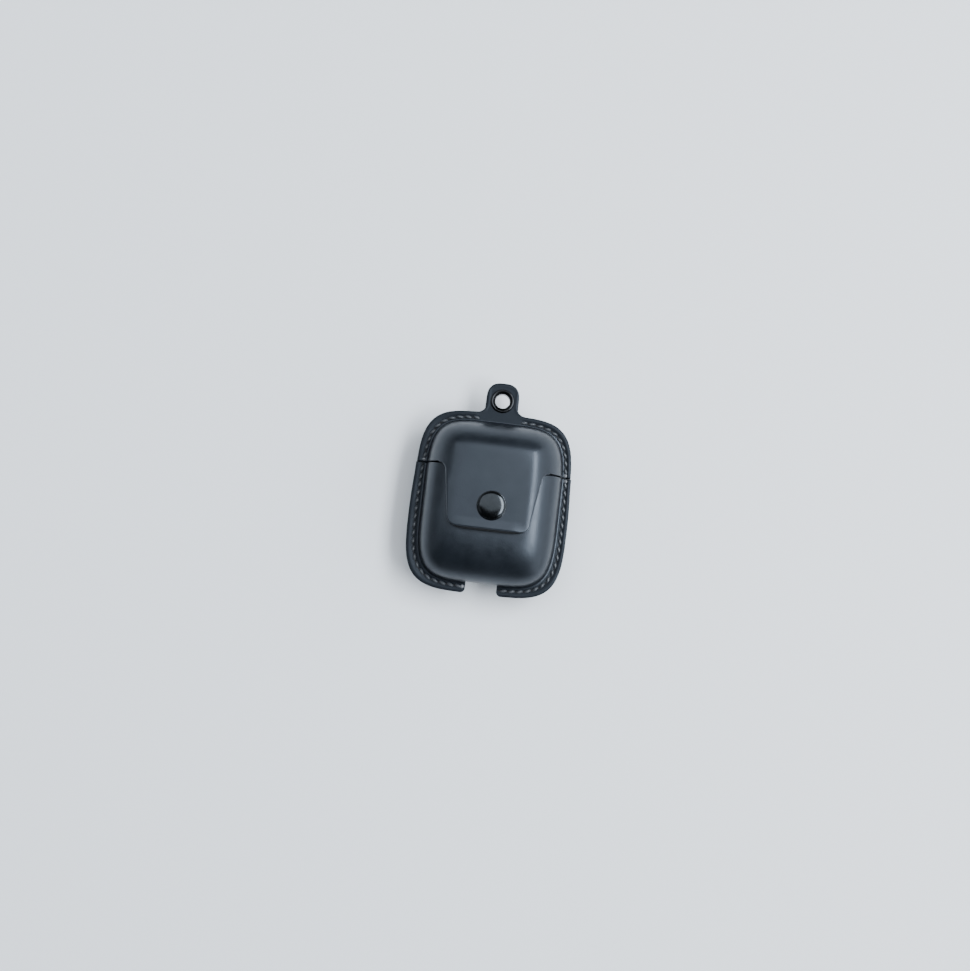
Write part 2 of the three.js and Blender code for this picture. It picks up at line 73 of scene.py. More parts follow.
# ---- sizes, from the frame ----
PANEL_LOW, PANEL_HIGH = box_mm("base_front_leather")
BACK_LOW, BACK_HIGH = box_mm("base_back_leather")
SHELL_LOW, SHELL_HIGH = box_mm("case_body_shell")
TAB_TOP = box_mm("hang_tab")[1][1]
FLAP_LOW, FLAP_HIGH = box_mm("flap_leather")
CAP_LOW, CAP_HIGH = box_mm("snap_cap")
EYELET_LOW, EYELET_HIGH = box_mm("eyelet_barrel")
THREAD_FOOT = box_mm("lid_seam_thread_right")[0][2]
_, SPLIT_Y, HINGE_Z = joint_mm("lid_open")

COVER = SHELL_LOW[2] - BACK_LOW[2]
HALF_W = SHELL_HIGH[0] + COVER
HALF_H = COVER - SHELL_LOW[1]
FACE_Z = PANEL_HIGH[2]
MID_Z = FACE_Z / 2
SEAM_Z = (PANEL_LOW[2] + BACK_HIGH[2]) / 2
LEATHER = THREAD_FOOT - 0.1 - SEAM_Z  # thickness
FLANGE_X = (PANEL_HIGH[0] - PANEL_LOW[0]) / 2 + 0.2
FLANGE_SHIFT = (PANEL_HIGH[0] + PANEL_LOW[0]) / 2 + 0.2
FLANGE_Y = -PANEL_LOW[1]

# ---- the shape of the moulded leather ----
OUTLINE_POWER = 4.5  # squareness of the outline
EDGE_POWER = 2.3  # squareness of the rounded edges, seen from the side
CASE_EDGE = 11.85  # how far the edges of the charging case inside round over
CROWN = 0.3  # how much the middle of a face stands above a flat one
PLATEAU_X = 11.6  # the flatter middle of a face, beyond which it rounds over
PLATEAU_TOP = 17.3
PLATEAU_BOTTOM = 10.0
SLIT = 0.06  # half the gap between the lid's leather and the body's
SLIT_ROUND = 0.5  # radius of the leather's edges there
SLIT_FLARE = 0.17  # it opens out this much on each side at the face
SLIT_ROWS = (0.5, 0.3, 0.14, 0.05)  # rows of points this far from its edge
ROOT = 0.7  # radius where the moulded wall turns into the flange
GROOVE = 0.22  # depth of the pressed line that the stitches lie in
GROOVE_WIDTH = 0.55
EDGE_ROUND = 0.42
COLUMNS = 560
LID_TRIM = 0.75  # the lid's flange is cut this much narrower than the base's
BASE_TAPER = 0.5  # and the base's narrows by this much on its way up to the slit
SEAM_X = 26.45
SEAM_Y = FLANGE_Y - 2.2
SEAM_LID_TRIM = 0.65  # the lid's stitches lie this much farther in

FLAP_TOP = 2.6  # height of the flap's face over the body's face
FLAP_X = (FLAP_LOW[0] + FLAP_HIGH[0]) / 2
FLAP_END = FLAP_LOW[1]
FLAP_SIDE_TOP = 16.9
FLAP_SIDE_END = 14.6
FLAP_CORNER = 3.4
FLAP_ROOT_Y = SPLIT_Y + SLIT - 0.02
FLAP_FLARE = 3.1
FLAP_FLARE_Y = 8.4
FLAP_ONE_PIECE = 19.6  # half the width in which it and the lid's leather are one
FLAP_ROUND = 0.45
FLAP_CURL = 0.45  # its lower edge stands this much farther off the body
CURL_HEIGHT = 3.6  # over this much of its height
CURL_SPAN = (8.0, 14.0)  # fading out between these distances from its middle
FLAP_BEVEL = 0.75  # and is cut on a slant
FLAP_FLATTER = 0.45  # its left side curves this much less than the body under it
NO_EDGE = 9.0  # a distance from an edge at which none of its rounding shows
SWELL = (17.0, 6.0)  # the lid's front rises between these distances above the slit
RELIEF = math.tan(math.radians(50))  # the back leather is cut away this steeply at the hinge

CASE_WALL = 1.4
SHELL_SLIT = 0.15
FIT = 0.15
INSIDE_SHELL = -COVER - CASE_WALL - FIT
LINING_TOP = -LEATHER - 0.15
LINING_BOTTOM = -LEATHER - 0.6
LINING_SLIT = 0.3
OVER_LINING = -LEATHER - 0.12  # the leather's inner face stays outside this
HINGE_BORE = 1.75
HINGE_HALF = 12.2
HINGE_ROOM = 12.4  # half the width of the room for the hinge's leaves
LIGHT_Y = SPLIT_Y - 4.5
MAGNET_HALF = 3.15
MAGNET_Z = (18.9, 21.1)
BUTTON_Y = -5.2
BUTTON_HOLE = 2.9
BUD_X = 11.4
BUD_Y = 14.0
BUD_RADII = (6.0, 6.4, 6.0)
BUD_ROOM = 0.35  # air round an earbud in its well
WELL_TUBE = 3.9  # radii of the tube round a stem, its bore and the hole for its contact
WELL_BORE = 3.1
CONTACT_HOLE = 1.1
STEM_RADIUS = 2.8
TIP_RADII = (1.86, 3.0, 3.0)
TIP_SPAN = (3.4, 6.7)

STITCH_PITCH = 2.95
STITCH_SLANT = 0.3
THREAD_RADIUS = 0.52
STRAND_STEPS = 12
STRAND_SIDES = 10
PORT_HALF = 5.7
PORT_RISE = 3.3  # half the height of the opening for the port
PORT_INNER_Y = -24
PORT_OUTER_Y = -50
FLANGE_END = 1.7  # the flange's corners are rounded beside the port
THUMB_HALF = 8.5
THUMB_DEPTH = 7
THUMB_TOP_Y = 20

RIM_BEAD = 0.12  # a burnished bead runs along the flange and the tab
RIM_INSET = 0.95
RIM_WIDTH = 0.42
TAB_RIM_WIDTH = 0.35

TAB_HALF = 5.95
TAB_ROOT_Y = FLANGE_Y
TAB_FLARE = 3.3
TAB_STRAIGHT_Y = 37.9
SNAP_Y = (CAP_LOW[1] + CAP_HIGH[1]) / 2
SNAP_HOLE = 4.65
RIVET_HOLE = 3.9
EYELET_HOLE = 3.5
EYELET_Y = (EYELET_LOW[1] + EYELET_HIGH[1]) / 2


# ---- mesh helpers ----
def smoothstep(value, start, end):
    t = np.clip((value - start) / (end - start), 0, 1)
    return t * t * (3 - 2 * t)


def bell(distance, width):
    """1 at no distance, falling away to almost nothing at twice the width."""
    return np.exp(-((distance / width) ** 2))


def reach(half_x, half_y, angle):
    """Distance from the centre to a rounded oblong, at a polar angle."""
    across = np.abs(np.cos(angle) / half_x) ** OUTLINE_POWER
    along = np.abs(np.sin(angle) / half_y) ** OUTLINE_POWER
    return (across + along) ** (-1 / OUTLINE_POWER)


def ring(half_x, half_y, shift, angles):
    r = reach(half_x, half_y, angles)
    return np.stack([shift + r * np.cos(angles), r * np.sin(angles)], axis=1)


def share_out(x, y, inner, outer, shift=0.0):
    """How far (x, y) lies from an inner rounded oblong, at 0, to an outer one, at 1."""
    low = np.full(x.shape, -1.0)
    high = np.full(x.shape, 6.0)
    for _ in range(36):
        middle = (low + high) / 2
        half_x = np.maximum(inner[0] + (outer[0] - inner[0]) * middle, 1e-3)
        half_y = np.maximum(inner[1] + (outer[1] - inner[1]) * middle, 1e-3)
        across = (np.abs(x - shift) / half_x) ** OUTLINE_POWER
        outside = across + (np.abs(y) / half_y) ** OUTLINE_POWER > 1
        low = np.where(outside, middle, low)
        high = np.where(outside, high, middle)
    return (low + high) / 2


def inset_from(x, y, half_x, half_y, shift=0.0):
    """Distance in from a rounded oblong, negative outside it."""
    return -10 * share_out(x, y, (half_x, half_y), (half_x + 10, half_y + 10), shift)


def dome_share(x, y):
    """0 where a face starts to round over, 1 at the outline of the moulded body."""
    plateau = np.where(y > 0, PLATEAU_TOP, PLATEAU_BOTTOM)
    return share_out(x, y, (PLATEAU_X, plateau), (HALF_W, HALF_H))


def dome(x, y, grow=0.0, crown=CROWN):
    """Height of the moulded face, or of a layer that stands a little over it."""
    t = np.clip(dome_share(x, y) / (1 + grow / 14), 0, 1)
    bulge = crown * np.clip(1 - (x / HALF_W) ** 2 - (y / HALF_H) ** 2, 0, 1)
    return MID_Z + (MID_Z + grow) * (1 - t**EDGE_POWER) ** (1 / EDGE_POWER) + bulge


def case_height(x, y, offset):
    """Height of the block that every layer of the case follows, this much outside it."""
    flat = (HALF_W - CASE_EDGE, HALF_H - CASE_EDGE)
    t = np.clip(share_out(x, y, flat, (HALF_W + offset, HALF_H + offset)), 0, 1)
    return MID_Z + (MID_Z + offset) * (1 - t**EDGE_POWER) ** (1 / EDGE_POWER)


def edge_drop(distance, radius=EDGE_ROUND):
    """How far a rounded edge falls away, at a distance in from the edge."""
    inside = np.clip(radius - distance, 0, radius)
    return radius - np.sqrt(radius**2 - inside**2)


def seam_gap(x, y, trim):
    return inset_from(x, y, SEAM_X - trim, SEAM_Y)


def flange_height(x, y, top, trim):
    inset = inset_from(x, y, FLANGE_X - trim, FLANGE_Y, FLANGE_SHIFT)
    at_tab = smoothstep(-np.abs(x), -9.6, -7.2) * smoothstep(y, 26, 29)
    groove = GROOVE * bell(seam_gap(x, y, trim * SEAM_LID_TRIM / LID_TRIM), GROOVE_WIDTH)
    rim = RIM_BEAD * bell(inset - RIM_INSET, RIM_WIDTH)
    return top + (1 - at_tab) * (rim - groove - edge_drop(inset))


def swell(x, y):
    """How far the lid's front stands off, toward the flap that grows out of it."""
    across = smoothstep(-np.abs(x - FLAP_X), -24.0, -13.0)
    return FLAP_TOP * across * smoothstep(-y, -SPLIT_Y - SWELL[0], -SPLIT_Y - SWELL[1])


def panel_height(x, y, top, grow, crown, trim):
    shell = dome(x, y, grow, crown)
    gap = np.clip(-inset_from(x, y, HALF_W, HALF_H), 0, ROOT)
    fillet = ROOT - np.sqrt(np.clip(ROOT**2 - (ROOT - gap) ** 2, 0, None))
    return np.where(shell > top + ROOT, shell, flange_height(x, y, top, trim) + fillet)


def even_angles(count):
    """Polar angles that step evenly along the flange's outline."""
    fine = np.linspace(-np.pi, np.pi, 6001)
    points = ring(FLANGE_X, FLANGE_Y, 0, fine)
    run = np.concatenate([[0], np.cumsum(np.linalg.norm(np.diff(points, axis=0), axis=1))])
    return np.interp(np.arange(count) / count * run[-1], run, fine)


def flange_trim(side, y):
    """How much is cut off the flange's edge, at each height up the body."""
    if side == "lid":
        return np.full(np.shape(y), LID_TRIM)
    return BASE_TAPER * smoothstep(y, -4, SPLIT_Y)


def panel_rings(top, side):
    """Rings of points from the middle of a panel to the edge of its flange."""
    angles = even_angles(COLUMNS)
    trim = flange_trim(side, ring(FLANGE_X, FLANGE_Y, 0, angles)[:, 1])
    rings = []
    plateau_y = np.where(np.sin(angles) > 0, PLATEAU_TOP, PLATEAU_BOTTOM)
    for share in (0.15, 0.35, 0.55, 0.75, 0.9, 1.0):
        rings.append(ring(PLATEAU_X * share, plateau_y * share, 0, angles))
    wall = ((top + ROOT - MID_Z) / MID_Z) ** (EDGE_POWER / 2)
    for turn in np.linspace(math.radians(86), math.asin(wall), 26):
        out = math.cos(turn) ** (2 / EDGE_POWER)
        half_y = plateau_y + (HALF_H - plateau_y) * out
        rings.append(ring(PLATEAU_X + (HALF_W - PLATEAU_X) * out, half_y, 0, angles))
    for turn in np.linspace(0.25, 1, 5) * math.pi / 2:
        out = ROOT * (1 - math.cos(turn))
        rings.append(ring(HALF_W + out, HALF_H + out, 0, angles))
    start = ring(HALF_W + ROOT, HALF_H + ROOT, 0, angles)
    seam_trim = trim * SEAM_LID_TRIM / LID_TRIM
    seams = [ring(SEAM_X - seam_trim + out, SEAM_Y + out, 0, angles)
             for out in (-0.6, -0.42, -0.25, -0.1, 0.1, 0.25, 0.42, 0.6)]
    rings.append((start + seams[0]) / 2)
    rings += seams
    edges = [ring(FLANGE_X - trim - inset, FLANGE_Y - inset, FLANGE_SHIFT, angles)
             for inset in (1.15, 0.95, 0.78, 0.62, 0.44, 0.3, 0.18, 0.08, 0.02)]
    rings.append((seams[-1] + edges[0]) / 2)
    return rings + edges


class Surface:
    """An open sheet of points in plan, with the faces between them."""

    def __init__(self):
        self.bm = bmesh.new()

    def add_points(self, points):
        return [self.bm.verts.new((p[0], p[1], 0)) for p in points]

    def add_polar(self, rings):
        rows = [self.add_points(points) for points in rings]
        centre = self.bm.verts.new((0, 0, 0))
        count = len(rows[0])
        for i in range(count):
            self.bm.faces.new((centre, rows[0][i], rows[0][(i + 1) % count]))
        for inner, outer in zip(rows, rows[1:]):
            for i in range(count):
                j = (i + 1) % count
                self.bm.faces.new((inner[i], outer[i], outer[j], inner[j]))

    def cut(self, point, normal, clear=False):
        geometry = self.bm.verts[:] + self.bm.edges[:] + self.bm.faces[:]
        bmesh.ops.bisect_plane(
            self.bm, geom=geometry, dist=1e-5, plane_co=point, plane_no=normal, clear_outer=clear
        )

    def boundary(self, test):
        """Edge points that pass a test, from left to right."""
        found = [v for v in self.bm.verts if v.is_boundary and test(v.co)]
        return sorted(found, key=lambda v: v.co.x)

    def add_grid(self, rows):
        grid = [self.add_points(points) for points in rows]
        for above, below in zip(grid, grid[1:]):
            for i in range(len(above) - 1):
                self.bm.faces.new((above[i], below[i], below[i + 1], above[i + 1]))
        return grid[0]

    def zip_rows(self, upper, lower):
        """Triangles between two rows of points that both run left to right."""
        i = j = 0
        while i < len(upper) - 1 or j < len(lower) - 1:
            more_upper = i < len(upper) - 1
            more_lower = j < len(lower) - 1
            take_upper = more_upper and (
                not more_lower or upper[i + 1].co.x <= lower[j + 1].co.x
            )
            if take_upper:
                self.bm.faces.new((upper[i], lower[j], upper[i + 1]))
                i += 1
            else:
                self.bm.faces.new((upper[i], lower[j], lower[j + 1]))
                j += 1

    def arrays(self):
        bmesh.ops.recalc_face_normals(self.bm, faces=self.bm.faces[:])
        self.bm.normal_update()
        self.bm.verts.index_update()
        points = np.array([v.co[:2] for v in self.bm.verts])
        flip = sum(f.normal.z for f in self.bm.faces) < 0
        faces = []
        for face in self.bm.faces:
            loop = [v.index for v in face.verts]
            faces.append(loop[::-1] if flip else loop)
        self.bm.free()
        return points, faces


def thicken(name, top, bottom, faces, materials, back=False):
    """A closed piece between two copies of a sheet.

    Slot 1 is its inside, slot 2 its cut edge, dull and dark, partly a dark dyed edge and partly painted shade, and
    slot 3 the flange, rougher and with a weaker reflection that is painted shade from the moulded wall beside it.
    """
    count = len(top)
    used = dict.fromkeys(pair for loop in faces for pair in zip(loop, loop[1:] + loop[:1]))
    rim = [(b, a, a + count, b + count) for a, b in used if (b, a) not in used]
    inside = [[v + count for v in reversed(loop)] for loop in faces]
    everything = [list(loop) for loop in faces] + inside + [list(loop) for loop in rim]
    if len(materials) > 1:
        middles = np.array([top[list(loop), :2].mean(axis=0) for loop in faces])
        flange = inset_from(middles[:, 0], middles[:, 1], HALF_W, HALF_H) < -ROOT
        slots = [3 if f else 0 for f in flange] + [1] * len(inside) + [2] * len(rim)
    else:
        slots = [0] * len(everything)
    points = np.concatenate([top, bottom])
    if back:
        points[:, 2] = FACE_Z - points[:, 2]
        everything = [loop[::-1] for loop in everything]
    return make_mesh(name, points, everything, materials, slots)


def make_mesh(name, points, faces, materials, slots=None, sharp=40):
    mesh = bpy.data.meshes.new(name)
    mesh.from_pydata([tuple(p) for p in np.asarray(points) * MM], [], faces)
    for material in materials:
        mesh.materials.append(material)
    if slots is not None:
        mesh.polygons.foreach_set("material_index", slots)
    shade(mesh, sharp)
    piece = bpy.data.objects.new(name, mesh)
    bpy.context.scene.collection.objects.link(piece)
    return piece


def shade(mesh, sharp):
    """Smooth faces, with a crease wherever two of them meet at more than this angle."""
    mesh.polygons.foreach_set("use_smooth", [True] * len(mesh.polygons))
    mesh.set_sharp_from_angle(angle=math.radians(sharp))
    mesh.update()


def carve(piece, points, faces, operation="DIFFERENCE"):
    """Cuts a closed shape out of a piece, or keeps or adds it."""
    cutter = make_mesh("cutter", points, faces, [])
    modifier = piece.modifiers.new("carve", "BOOLEAN")
    modifier.object = cutter
    modifier.operation = operation
    modifier.solver = "EXACT"
    apply_modifiers(piece)
    bpy.data.objects.remove(cutter)


def apply_modifiers(piece):
    depsgraph = bpy.context.evaluated_depsgraph_get()
    depsgraph.update()
    mesh = bpy.data.meshes.new_from_object(piece.evaluated_get(depsgraph), depsgraph=depsgraph)
    piece.modifiers.clear()
    piece.data = mesh
    shade(mesh, 35)


def band(low, high):
    """Faces round a closed shape, between two rows with as many points."""
    count = len(low)
    steps = [(i, (i + 1) % count) for i in range(count)]
    return [[low[i], low[j], high[j], high[i]] for i, j in steps]


def prism(outline, low, high):
    count = len(outline)
    points = [(x, y, z) for z in (low, high) for x, y in outline]
    bottom, top = range(count), range(count, 2 * count)
    return points, [list(bottom)[::-1], list(top)] + band(bottom, top)


def pillow(offset, columns=200, levels=14):
    """The soft-edged block that every layer of the case follows, as a closed solid."""
    angles = np.arange(columns) / columns * 2 * math.pi
    flat_x, flat_y = HALF_W - CASE_EDGE, HALF_H - CASE_EDGE
    points = [(0, 0, -offset)]
    rows = []
    turns = np.linspace(-math.pi / 2, math.pi / 2, 2 * levels + 1)
    sizes = [(0.5, -1.0)] + [(1 + max(math.cos(t), 0) ** (2 / EDGE_POWER), math.sin(t)) for t in turns]
    for size, up in sizes + [(0.5, 1.0)]:
        out = (CASE_EDGE + offset) * max(size - 1, 0)
        half = (flat_x + out, flat_y + out) if size >= 1 else (flat_x * size, flat_y * size)
        rise = math.copysign(abs(up) ** (2 / EDGE_POWER), up)
        rows.append(range(len(points), len(points) + columns))
        z = MID_Z + (MID_Z + offset) * rise
        points += [(px, py, z) for px, py in ring(*half, 0, angles)]
    points.append((0, 0, 2 * MID_Z + offset))
    faces = []
    for i in range(columns):
        j = (i + 1) % columns
        faces.append((0, rows[0][j], rows[0][i]))
        faces.append((len(points) - 1, rows[-1][i], rows[-1][j]))
        faces += [(a[i], a[j], b[j], b[i]) for a, b in zip(rows, rows[1:])]
    return points, faces


def half_space(side, slit):
    """The lid's side or the body's side of the split, with the relief behind the hinge."""
    edge = SPLIT_Y + side * slit
    lean = edge + side * (HINGE_Z + 10) * RELIEF
    end = side * 1.5 * FAR
    section = [(lean, -10), (edge, HINGE_Z), (edge, FAR), (end, FAR), (end, -10)]
    points, faces = prism(section, -FAR, FAR)
    if side < 0:
        faces = [loop[::-1] for loop in faces]
    return [(x, y, z) for y, z, x in points], faces


def block(x0, x1, y0, y1, z0, z1):
    return prism([(x0, y0), (x1, y0), (x1, y1), (x0, y1)], z0, z1)


def rod(axis, radius, start, end, centre, sides=48):
    """A round bar along one axis, with its centre given on the other two."""
    points, faces = prism(circle(centre[0], centre[1], radius, sides), start, end)
    if axis == "x":
        points = [(z, x, y) for x, y, z in points]
    elif axis == "y":
        points = [(x, z, y) for x, y, z in points]
        faces = [loop[::-1] for loop in faces]
    return points, faces


def ball(centre, radii, sides=56, levels=28):
    points, rows = [], []
    for i in range(levels + 1):
        turn = math.pi * (i / levels - 0.5)
        rows.append(range(len(points), len(points) + sides))
        out = max(math.cos(turn), 1e-4)
        for x, y in circle(0, 0, out, sides):
            unit = (x, y, math.sin(turn))
            points.append(tuple(c + r * u for c, r, u in zip(centre, radii, unit)))
    faces = [list(rows[0])[::-1], list(rows[-1])]
    for low, high in zip(rows, rows[1:]):
        faces += band(low, high)
    return points, faces


def circle(x, y, radius, sides=64):
    turns = [2 * math.pi * i / sides for i in range(sides)]
    return [(x + radius * math.cos(t), y + radius * math.sin(t)) for t in turns]


def lathe(name, profile, x, y, material, sides):
    """A turned piece about a vertical axis, from a closed or axis-to-axis profile of (radius, z)."""
    closed = profile[0] == profile[-1]
    rows = profile[:-1] if closed else profile
    points, faces, index = [], [], []
    for radius, z in rows:
        if radius < 1e-6:
            index.append([len(points)] * sides)
            points.append((x, y, z))
            continue
        index.append(list(range(len(points), len(points) + sides)))
        points += [(px, py, z) for px, py in circle(x, y, radius, sides)]
    pairs = list(zip(index, index[1:])) + ([(index[-1], index[0])] if closed else [])
    for low, high in pairs:
        loops = [list(dict.fromkeys(loop)) for loop in band(low, high)]
        faces += [loop for loop in loops if len(loop) > 2]
    return make_mesh(name, points, faces, [material], sharp=50)


def arc(x, z, radius, start, end, steps=8):
    turns = np.radians(np.linspace(start, end, steps + 1))
    return [(x + radius * math.cos(t), z + radius * math.sin(t)) for t in turns]


# ---- materials ----
def new_material(name, color, roughness, metallic=0.0):
    material = bpy.data.materials.new(name)
    material.use_nodes = True
    shader = material.node_tree.nodes["Principled BSDF"]
    shader.inputs["Base Color"].default_value = (*color, 1)
    shader.inputs["Roughness"].default_value = roughness
    shader.inputs["Metallic"].default_value = metallic
    return material, shader


def add_range(tree, low, high, start, end):
    """A node that maps the numbers from start to end onto those from low to high."""
    node = tree.nodes.new("ShaderNodeMapRange")
    values = {"From Min": start, "From Max": end, "To Min": low, "To Max": high}
    for name, value in values.items():
        node.inputs[name].default_value = value
    return node


class Graph:
    """A material, with short names for the nodes that it is built from."""

    def __init__(self, name, color, roughness, metallic=0.0):
        self.material, shader = new_material(name, color, roughness, metallic)
        self.inputs = shader.inputs
        self.tree = self.material.node_tree
        self.coords = self.tree.nodes.new("ShaderNodeTexCoord").outputs["Object"]

    def link(self, output, socket):
        self.tree.links.new(output, socket)

    def noise(self, scale, detail=3.0, stretch=(1, 1, 1), distortion=0.0):
        mapping = self.tree.nodes.new("ShaderNodeMapping")
        mapping.inputs["Scale"].default_value = stretch
        node = self.tree.nodes.new("ShaderNodeTexNoise")
        node.inputs["Scale"].default_value = scale
        node.inputs["Detail"].default_value = detail
        node.inputs["Distortion"].default_value = distortion
        self.link(self.coords, mapping.inputs["Vector"])
        self.link(mapping.outputs["Vector"], node.inputs["Vector"])
        return node.outputs["Fac"]

    def cells(self, scale, feature="SMOOTH_F1"):
        node = self.tree.nodes.new("ShaderNodeTexVoronoi")
        node.feature = feature
        node.inputs["Scale"].default_value = scale
        self.link(self.coords, node.inputs["Vector"])
        return node.outputs["Distance"]

    def ramp(self, value, low, high, start=0.3, end=0.7):
        """Maps a pattern to a colour between two."""
        node = self.tree.nodes.new("ShaderNodeValToRGB")
        node.color_ramp.elements[0].position = start
        node.color_ramp.elements[1].position = end
        node.color_ramp.elements[0].color = (*low, 1)
        node.color_ramp.elements[1].color = (*high, 1)
        self.link(value, node.inputs["Fac"])
        return node.outputs["Color"]

    def span(self, value, low, high, start=0.3, end=0.7):
        """Maps a pattern to a number between two."""
        node = add_range(self.tree, low, high, start, end)
        self.link(value, node.inputs["Value"])
        return node.outputs["Result"]

    def bump(self, value, depth, strength=1.0, under=None):
        node = self.tree.nodes.new("ShaderNodeBump")
        node.inputs["Strength"].default_value = strength
        node.inputs["Distance"].default_value = depth
        self.link(value, node.inputs["Height"])
        if under is not None:
            self.link(under, node.inputs["Normal"])
        return node.outputs["Normal"]


    def tones(self, scale, detail, low, high, stretch=(1, 1, 1)):
        """Lets the colour wander between two tones."""
        pattern = self.noise(scale, detail, stretch)
        self.link(self.ramp(pattern, low, high), self.inputs["Base Color"])

    def polish(self, pattern, low, high):
        """Lets the roughness wander between two values."""
        self.link(self.span(pattern, low, high), self.inputs["Roughness"])

    def grain(self, pattern, depth, strength):
        self.link(self.bump(pattern, depth, strength), self.inputs["Normal"])


def leather_material(name, rough_low, rough_high, specular):
    graph = Graph(name, (0.005, 0.0066, 0.009), rough_low)
    graph.tones(120, 4, (0.003, 0.0042, 0.006), (0.0055, 0.0072, 0.0098))
    graph.polish(graph.noise(260, 5, distortion=0.4), rough_low, rough_high)
    normal = graph.bump(graph.cells(2300), 0.00002, 0.6)
    normal = graph.bump(graph.noise(5200, 3), 0.00001, 0.5, normal)
    normal = graph.bump(graph.noise(90, 2), 0.0001, 0.25, normal)
    graph.link(normal, graph.inputs["Normal"])
    graph.inputs["Specular IOR Level"].default_value = specular
    graph.inputs["Specular Tint"].default_value = (0.745, 0.85, 1.0, 1)
    return graph.material


def flesh_material():
    graph = Graph("leather_inside", (0.02, 0.02, 0.022), 0.9)
    graph.tones(900, 5, (0.012, 0.012, 0.014), (0.035, 0.035, 0.038))
    graph.grain(graph.noise(4200, 5), 0.00006, 0.9)
    return graph.material


# a dark, dull cut edge: partly a dark dyed edge, partly painted shade, so that the flap's slanted lower edge reads
# as the shadow under it
def edge_dye_and_shade_material():
    graph = Graph("leather_edge_dye_and_shade", (0.006, 0.0065, 0.0075), 0.45)
    graph.tones(500, 4, (0.004, 0.0045, 0.0055), (0.009, 0.01, 0.012))
    graph.polish(graph.noise(800, 3), 0.4, 0.55)
    graph.grain(graph.noise(1500, 3), 0.00003, 0.4)
    graph.inputs["Specular IOR Level"].default_value = 0.2
    return graph.material


def suede_material():
    graph = Graph("microfibre", (0.02, 0.021, 0.024), 0.95)
    graph.tones(1200, 6, (0.014, 0.015, 0.017), (0.034, 0.035, 0.04))
    graph.grain(graph.noise(6500, 4), 0.00005, 0.8)
    graph.inputs["Sheen Weight"].default_value = 0.35
    graph.inputs["Sheen Roughness"].default_value = 0.6
    return graph.material


def thread_material():
    graph = Graph("waxed_thread", (0.03, 0.034, 0.04), 0.34)
    graph.tones(2600, 4, (0.018, 0.021, 0.026), (0.042, 0.048, 0.056))
    graph.grain(graph.noise(7000, 3), 0.00003, 0.8)
    return graph.material


# painted shade: near-black drops laid at each stitch station stand in for the shadow inside the awl holes
def hole_shade_material():
    graph = Graph("awl_hole_painted_shade", (0.003, 0.003, 0.004), 0.9)
    graph.tones(3000, 2, (0.002, 0.002, 0.003), (0.006, 0.006, 0.007))
    return graph.material


def metal_material(name, low, high, rough, stretch=(1, 1, 1), depth=0.000004):
    graph = Graph(name, low, rough, metallic=1.0)
    graph.tones(700, 4, low, high, stretch)
    scratches = graph.noise(2200, 4, stretch)
    graph.polish(scratches, rough * 0.8, rough * 1.25)
    graph.grain(scratches, depth, 0.6)
    return graph.material


def plastic_material(name, color, rough, grain=1800, depth=0.000004):
    graph = Graph(name, color, rough)
    graph.tones(150, 3, tuple(c / 1.25 for c in color), tuple(c * 1.25 for c in color))
    graph.polish(graph.noise(420, 4), rough * 0.85, rough * 1.2)
    graph.grain(graph.noise(grain, 3), depth, 0.6)
    return graph.material


LEATHER_SKIN = leather_material("leather_face", 0.3, 0.39, 0.5)
# the flange's copy of the leather is rougher, and its weaker reflection is painted shade for the dome wall's
# shadow over the flange
LEATHER_FLANGE_SHADED = leather_material("leather_flange_painted_shade", 0.42, 0.55, 0.22)
LEATHER_FLESH = flesh_material()
LEATHER_EDGE_DYE_AND_SHADE = edge_dye_and_shade_material()
COVER_MATERIALS = [LEATHER_SKIN, LEATHER_FLESH, LEATHER_EDGE_DYE_AND_SHADE, LEATHER_FLANGE_SHADED]
SUEDE = suede_material()
THREAD = thread_material()
HOLE_SHADE = hole_shade_material()
GUNMETAL = metal_material("gunmetal", (0.028, 0.032, 0.036), (0.034, 0.038, 0.042), 0.17, depth=0.0000005)
BLACK_METAL = metal_material("black_metal", (0.02, 0.021, 0.023), (0.04, 0.042, 0.045), 0.2)
STEEL = metal_material("steel", (0.42, 0.43, 0.44), (0.6, 0.61, 0.62), 0.3, (1, 12, 1))
MESH_METAL = metal_material("mesh_metal", (0.1, 0.1, 0.105), (0.25, 0.25, 0.26), 0.4)
COPPER = metal_material("copper", (0.5, 0.2, 0.09), (0.75, 0.36, 0.19), 0.35)
NICKEL = metal_material("nickel", (0.5, 0.51, 0.52), (0.68, 0.69, 0.7), 0.2)
FOIL = metal_material("foil", (0.4, 0.41, 0.43), (0.6, 0.61, 0.63), 0.35, depth=0.00002)
SHELL = plastic_material("gloss_shell", (0.012, 0.0125, 0.014), 0.14)
TRAY = plastic_material("satin_tray", (0.02, 0.0205, 0.023), 0.42, 2600, 0.00001)
SILICONE = plastic_material("silicone", (0.035, 0.035, 0.039), 0.6, 3200, 0.00001)
FERRITE = plastic_material("ferrite", (0.04, 0.04, 0.043), 0.8, 2200, 0.00002)
BOARD = plastic_material("board", (0.01, 0.09, 0.04), 0.4)
MELTED_THREAD = plastic_material("melted_thread", (0.09, 0.095, 0.105), 0.14)
LIGHT_PIPE = plastic_material("light_pipe", (0.6, 0.68, 0.62), 0.25)

CAD_LOOKS = {
    "leather": LEATHER_SKIN, "suede": SUEDE, "thread": THREAD,
    "black_metal": BLACK_METAL, "steel": STEEL, "mesh_metal": MESH_METAL,
    "shell_plastic": SHELL, "tray_plastic": TRAY, "silicone": SILICONE,
    "copper": COPPER, "ferrite": FERRITE, "board": BOARD,
    "battery_foil": FOIL, "magnet": NICKEL, "light_pipe": LIGHT_PIPE,
}
for part in frame["record"]["subparts"]:
    look = CAD_LOOKS[part["material_slot"]]
    node = frame["nodes"][part["node"]]
    node.data.materials.clear()
    node.data.materials.append(look)


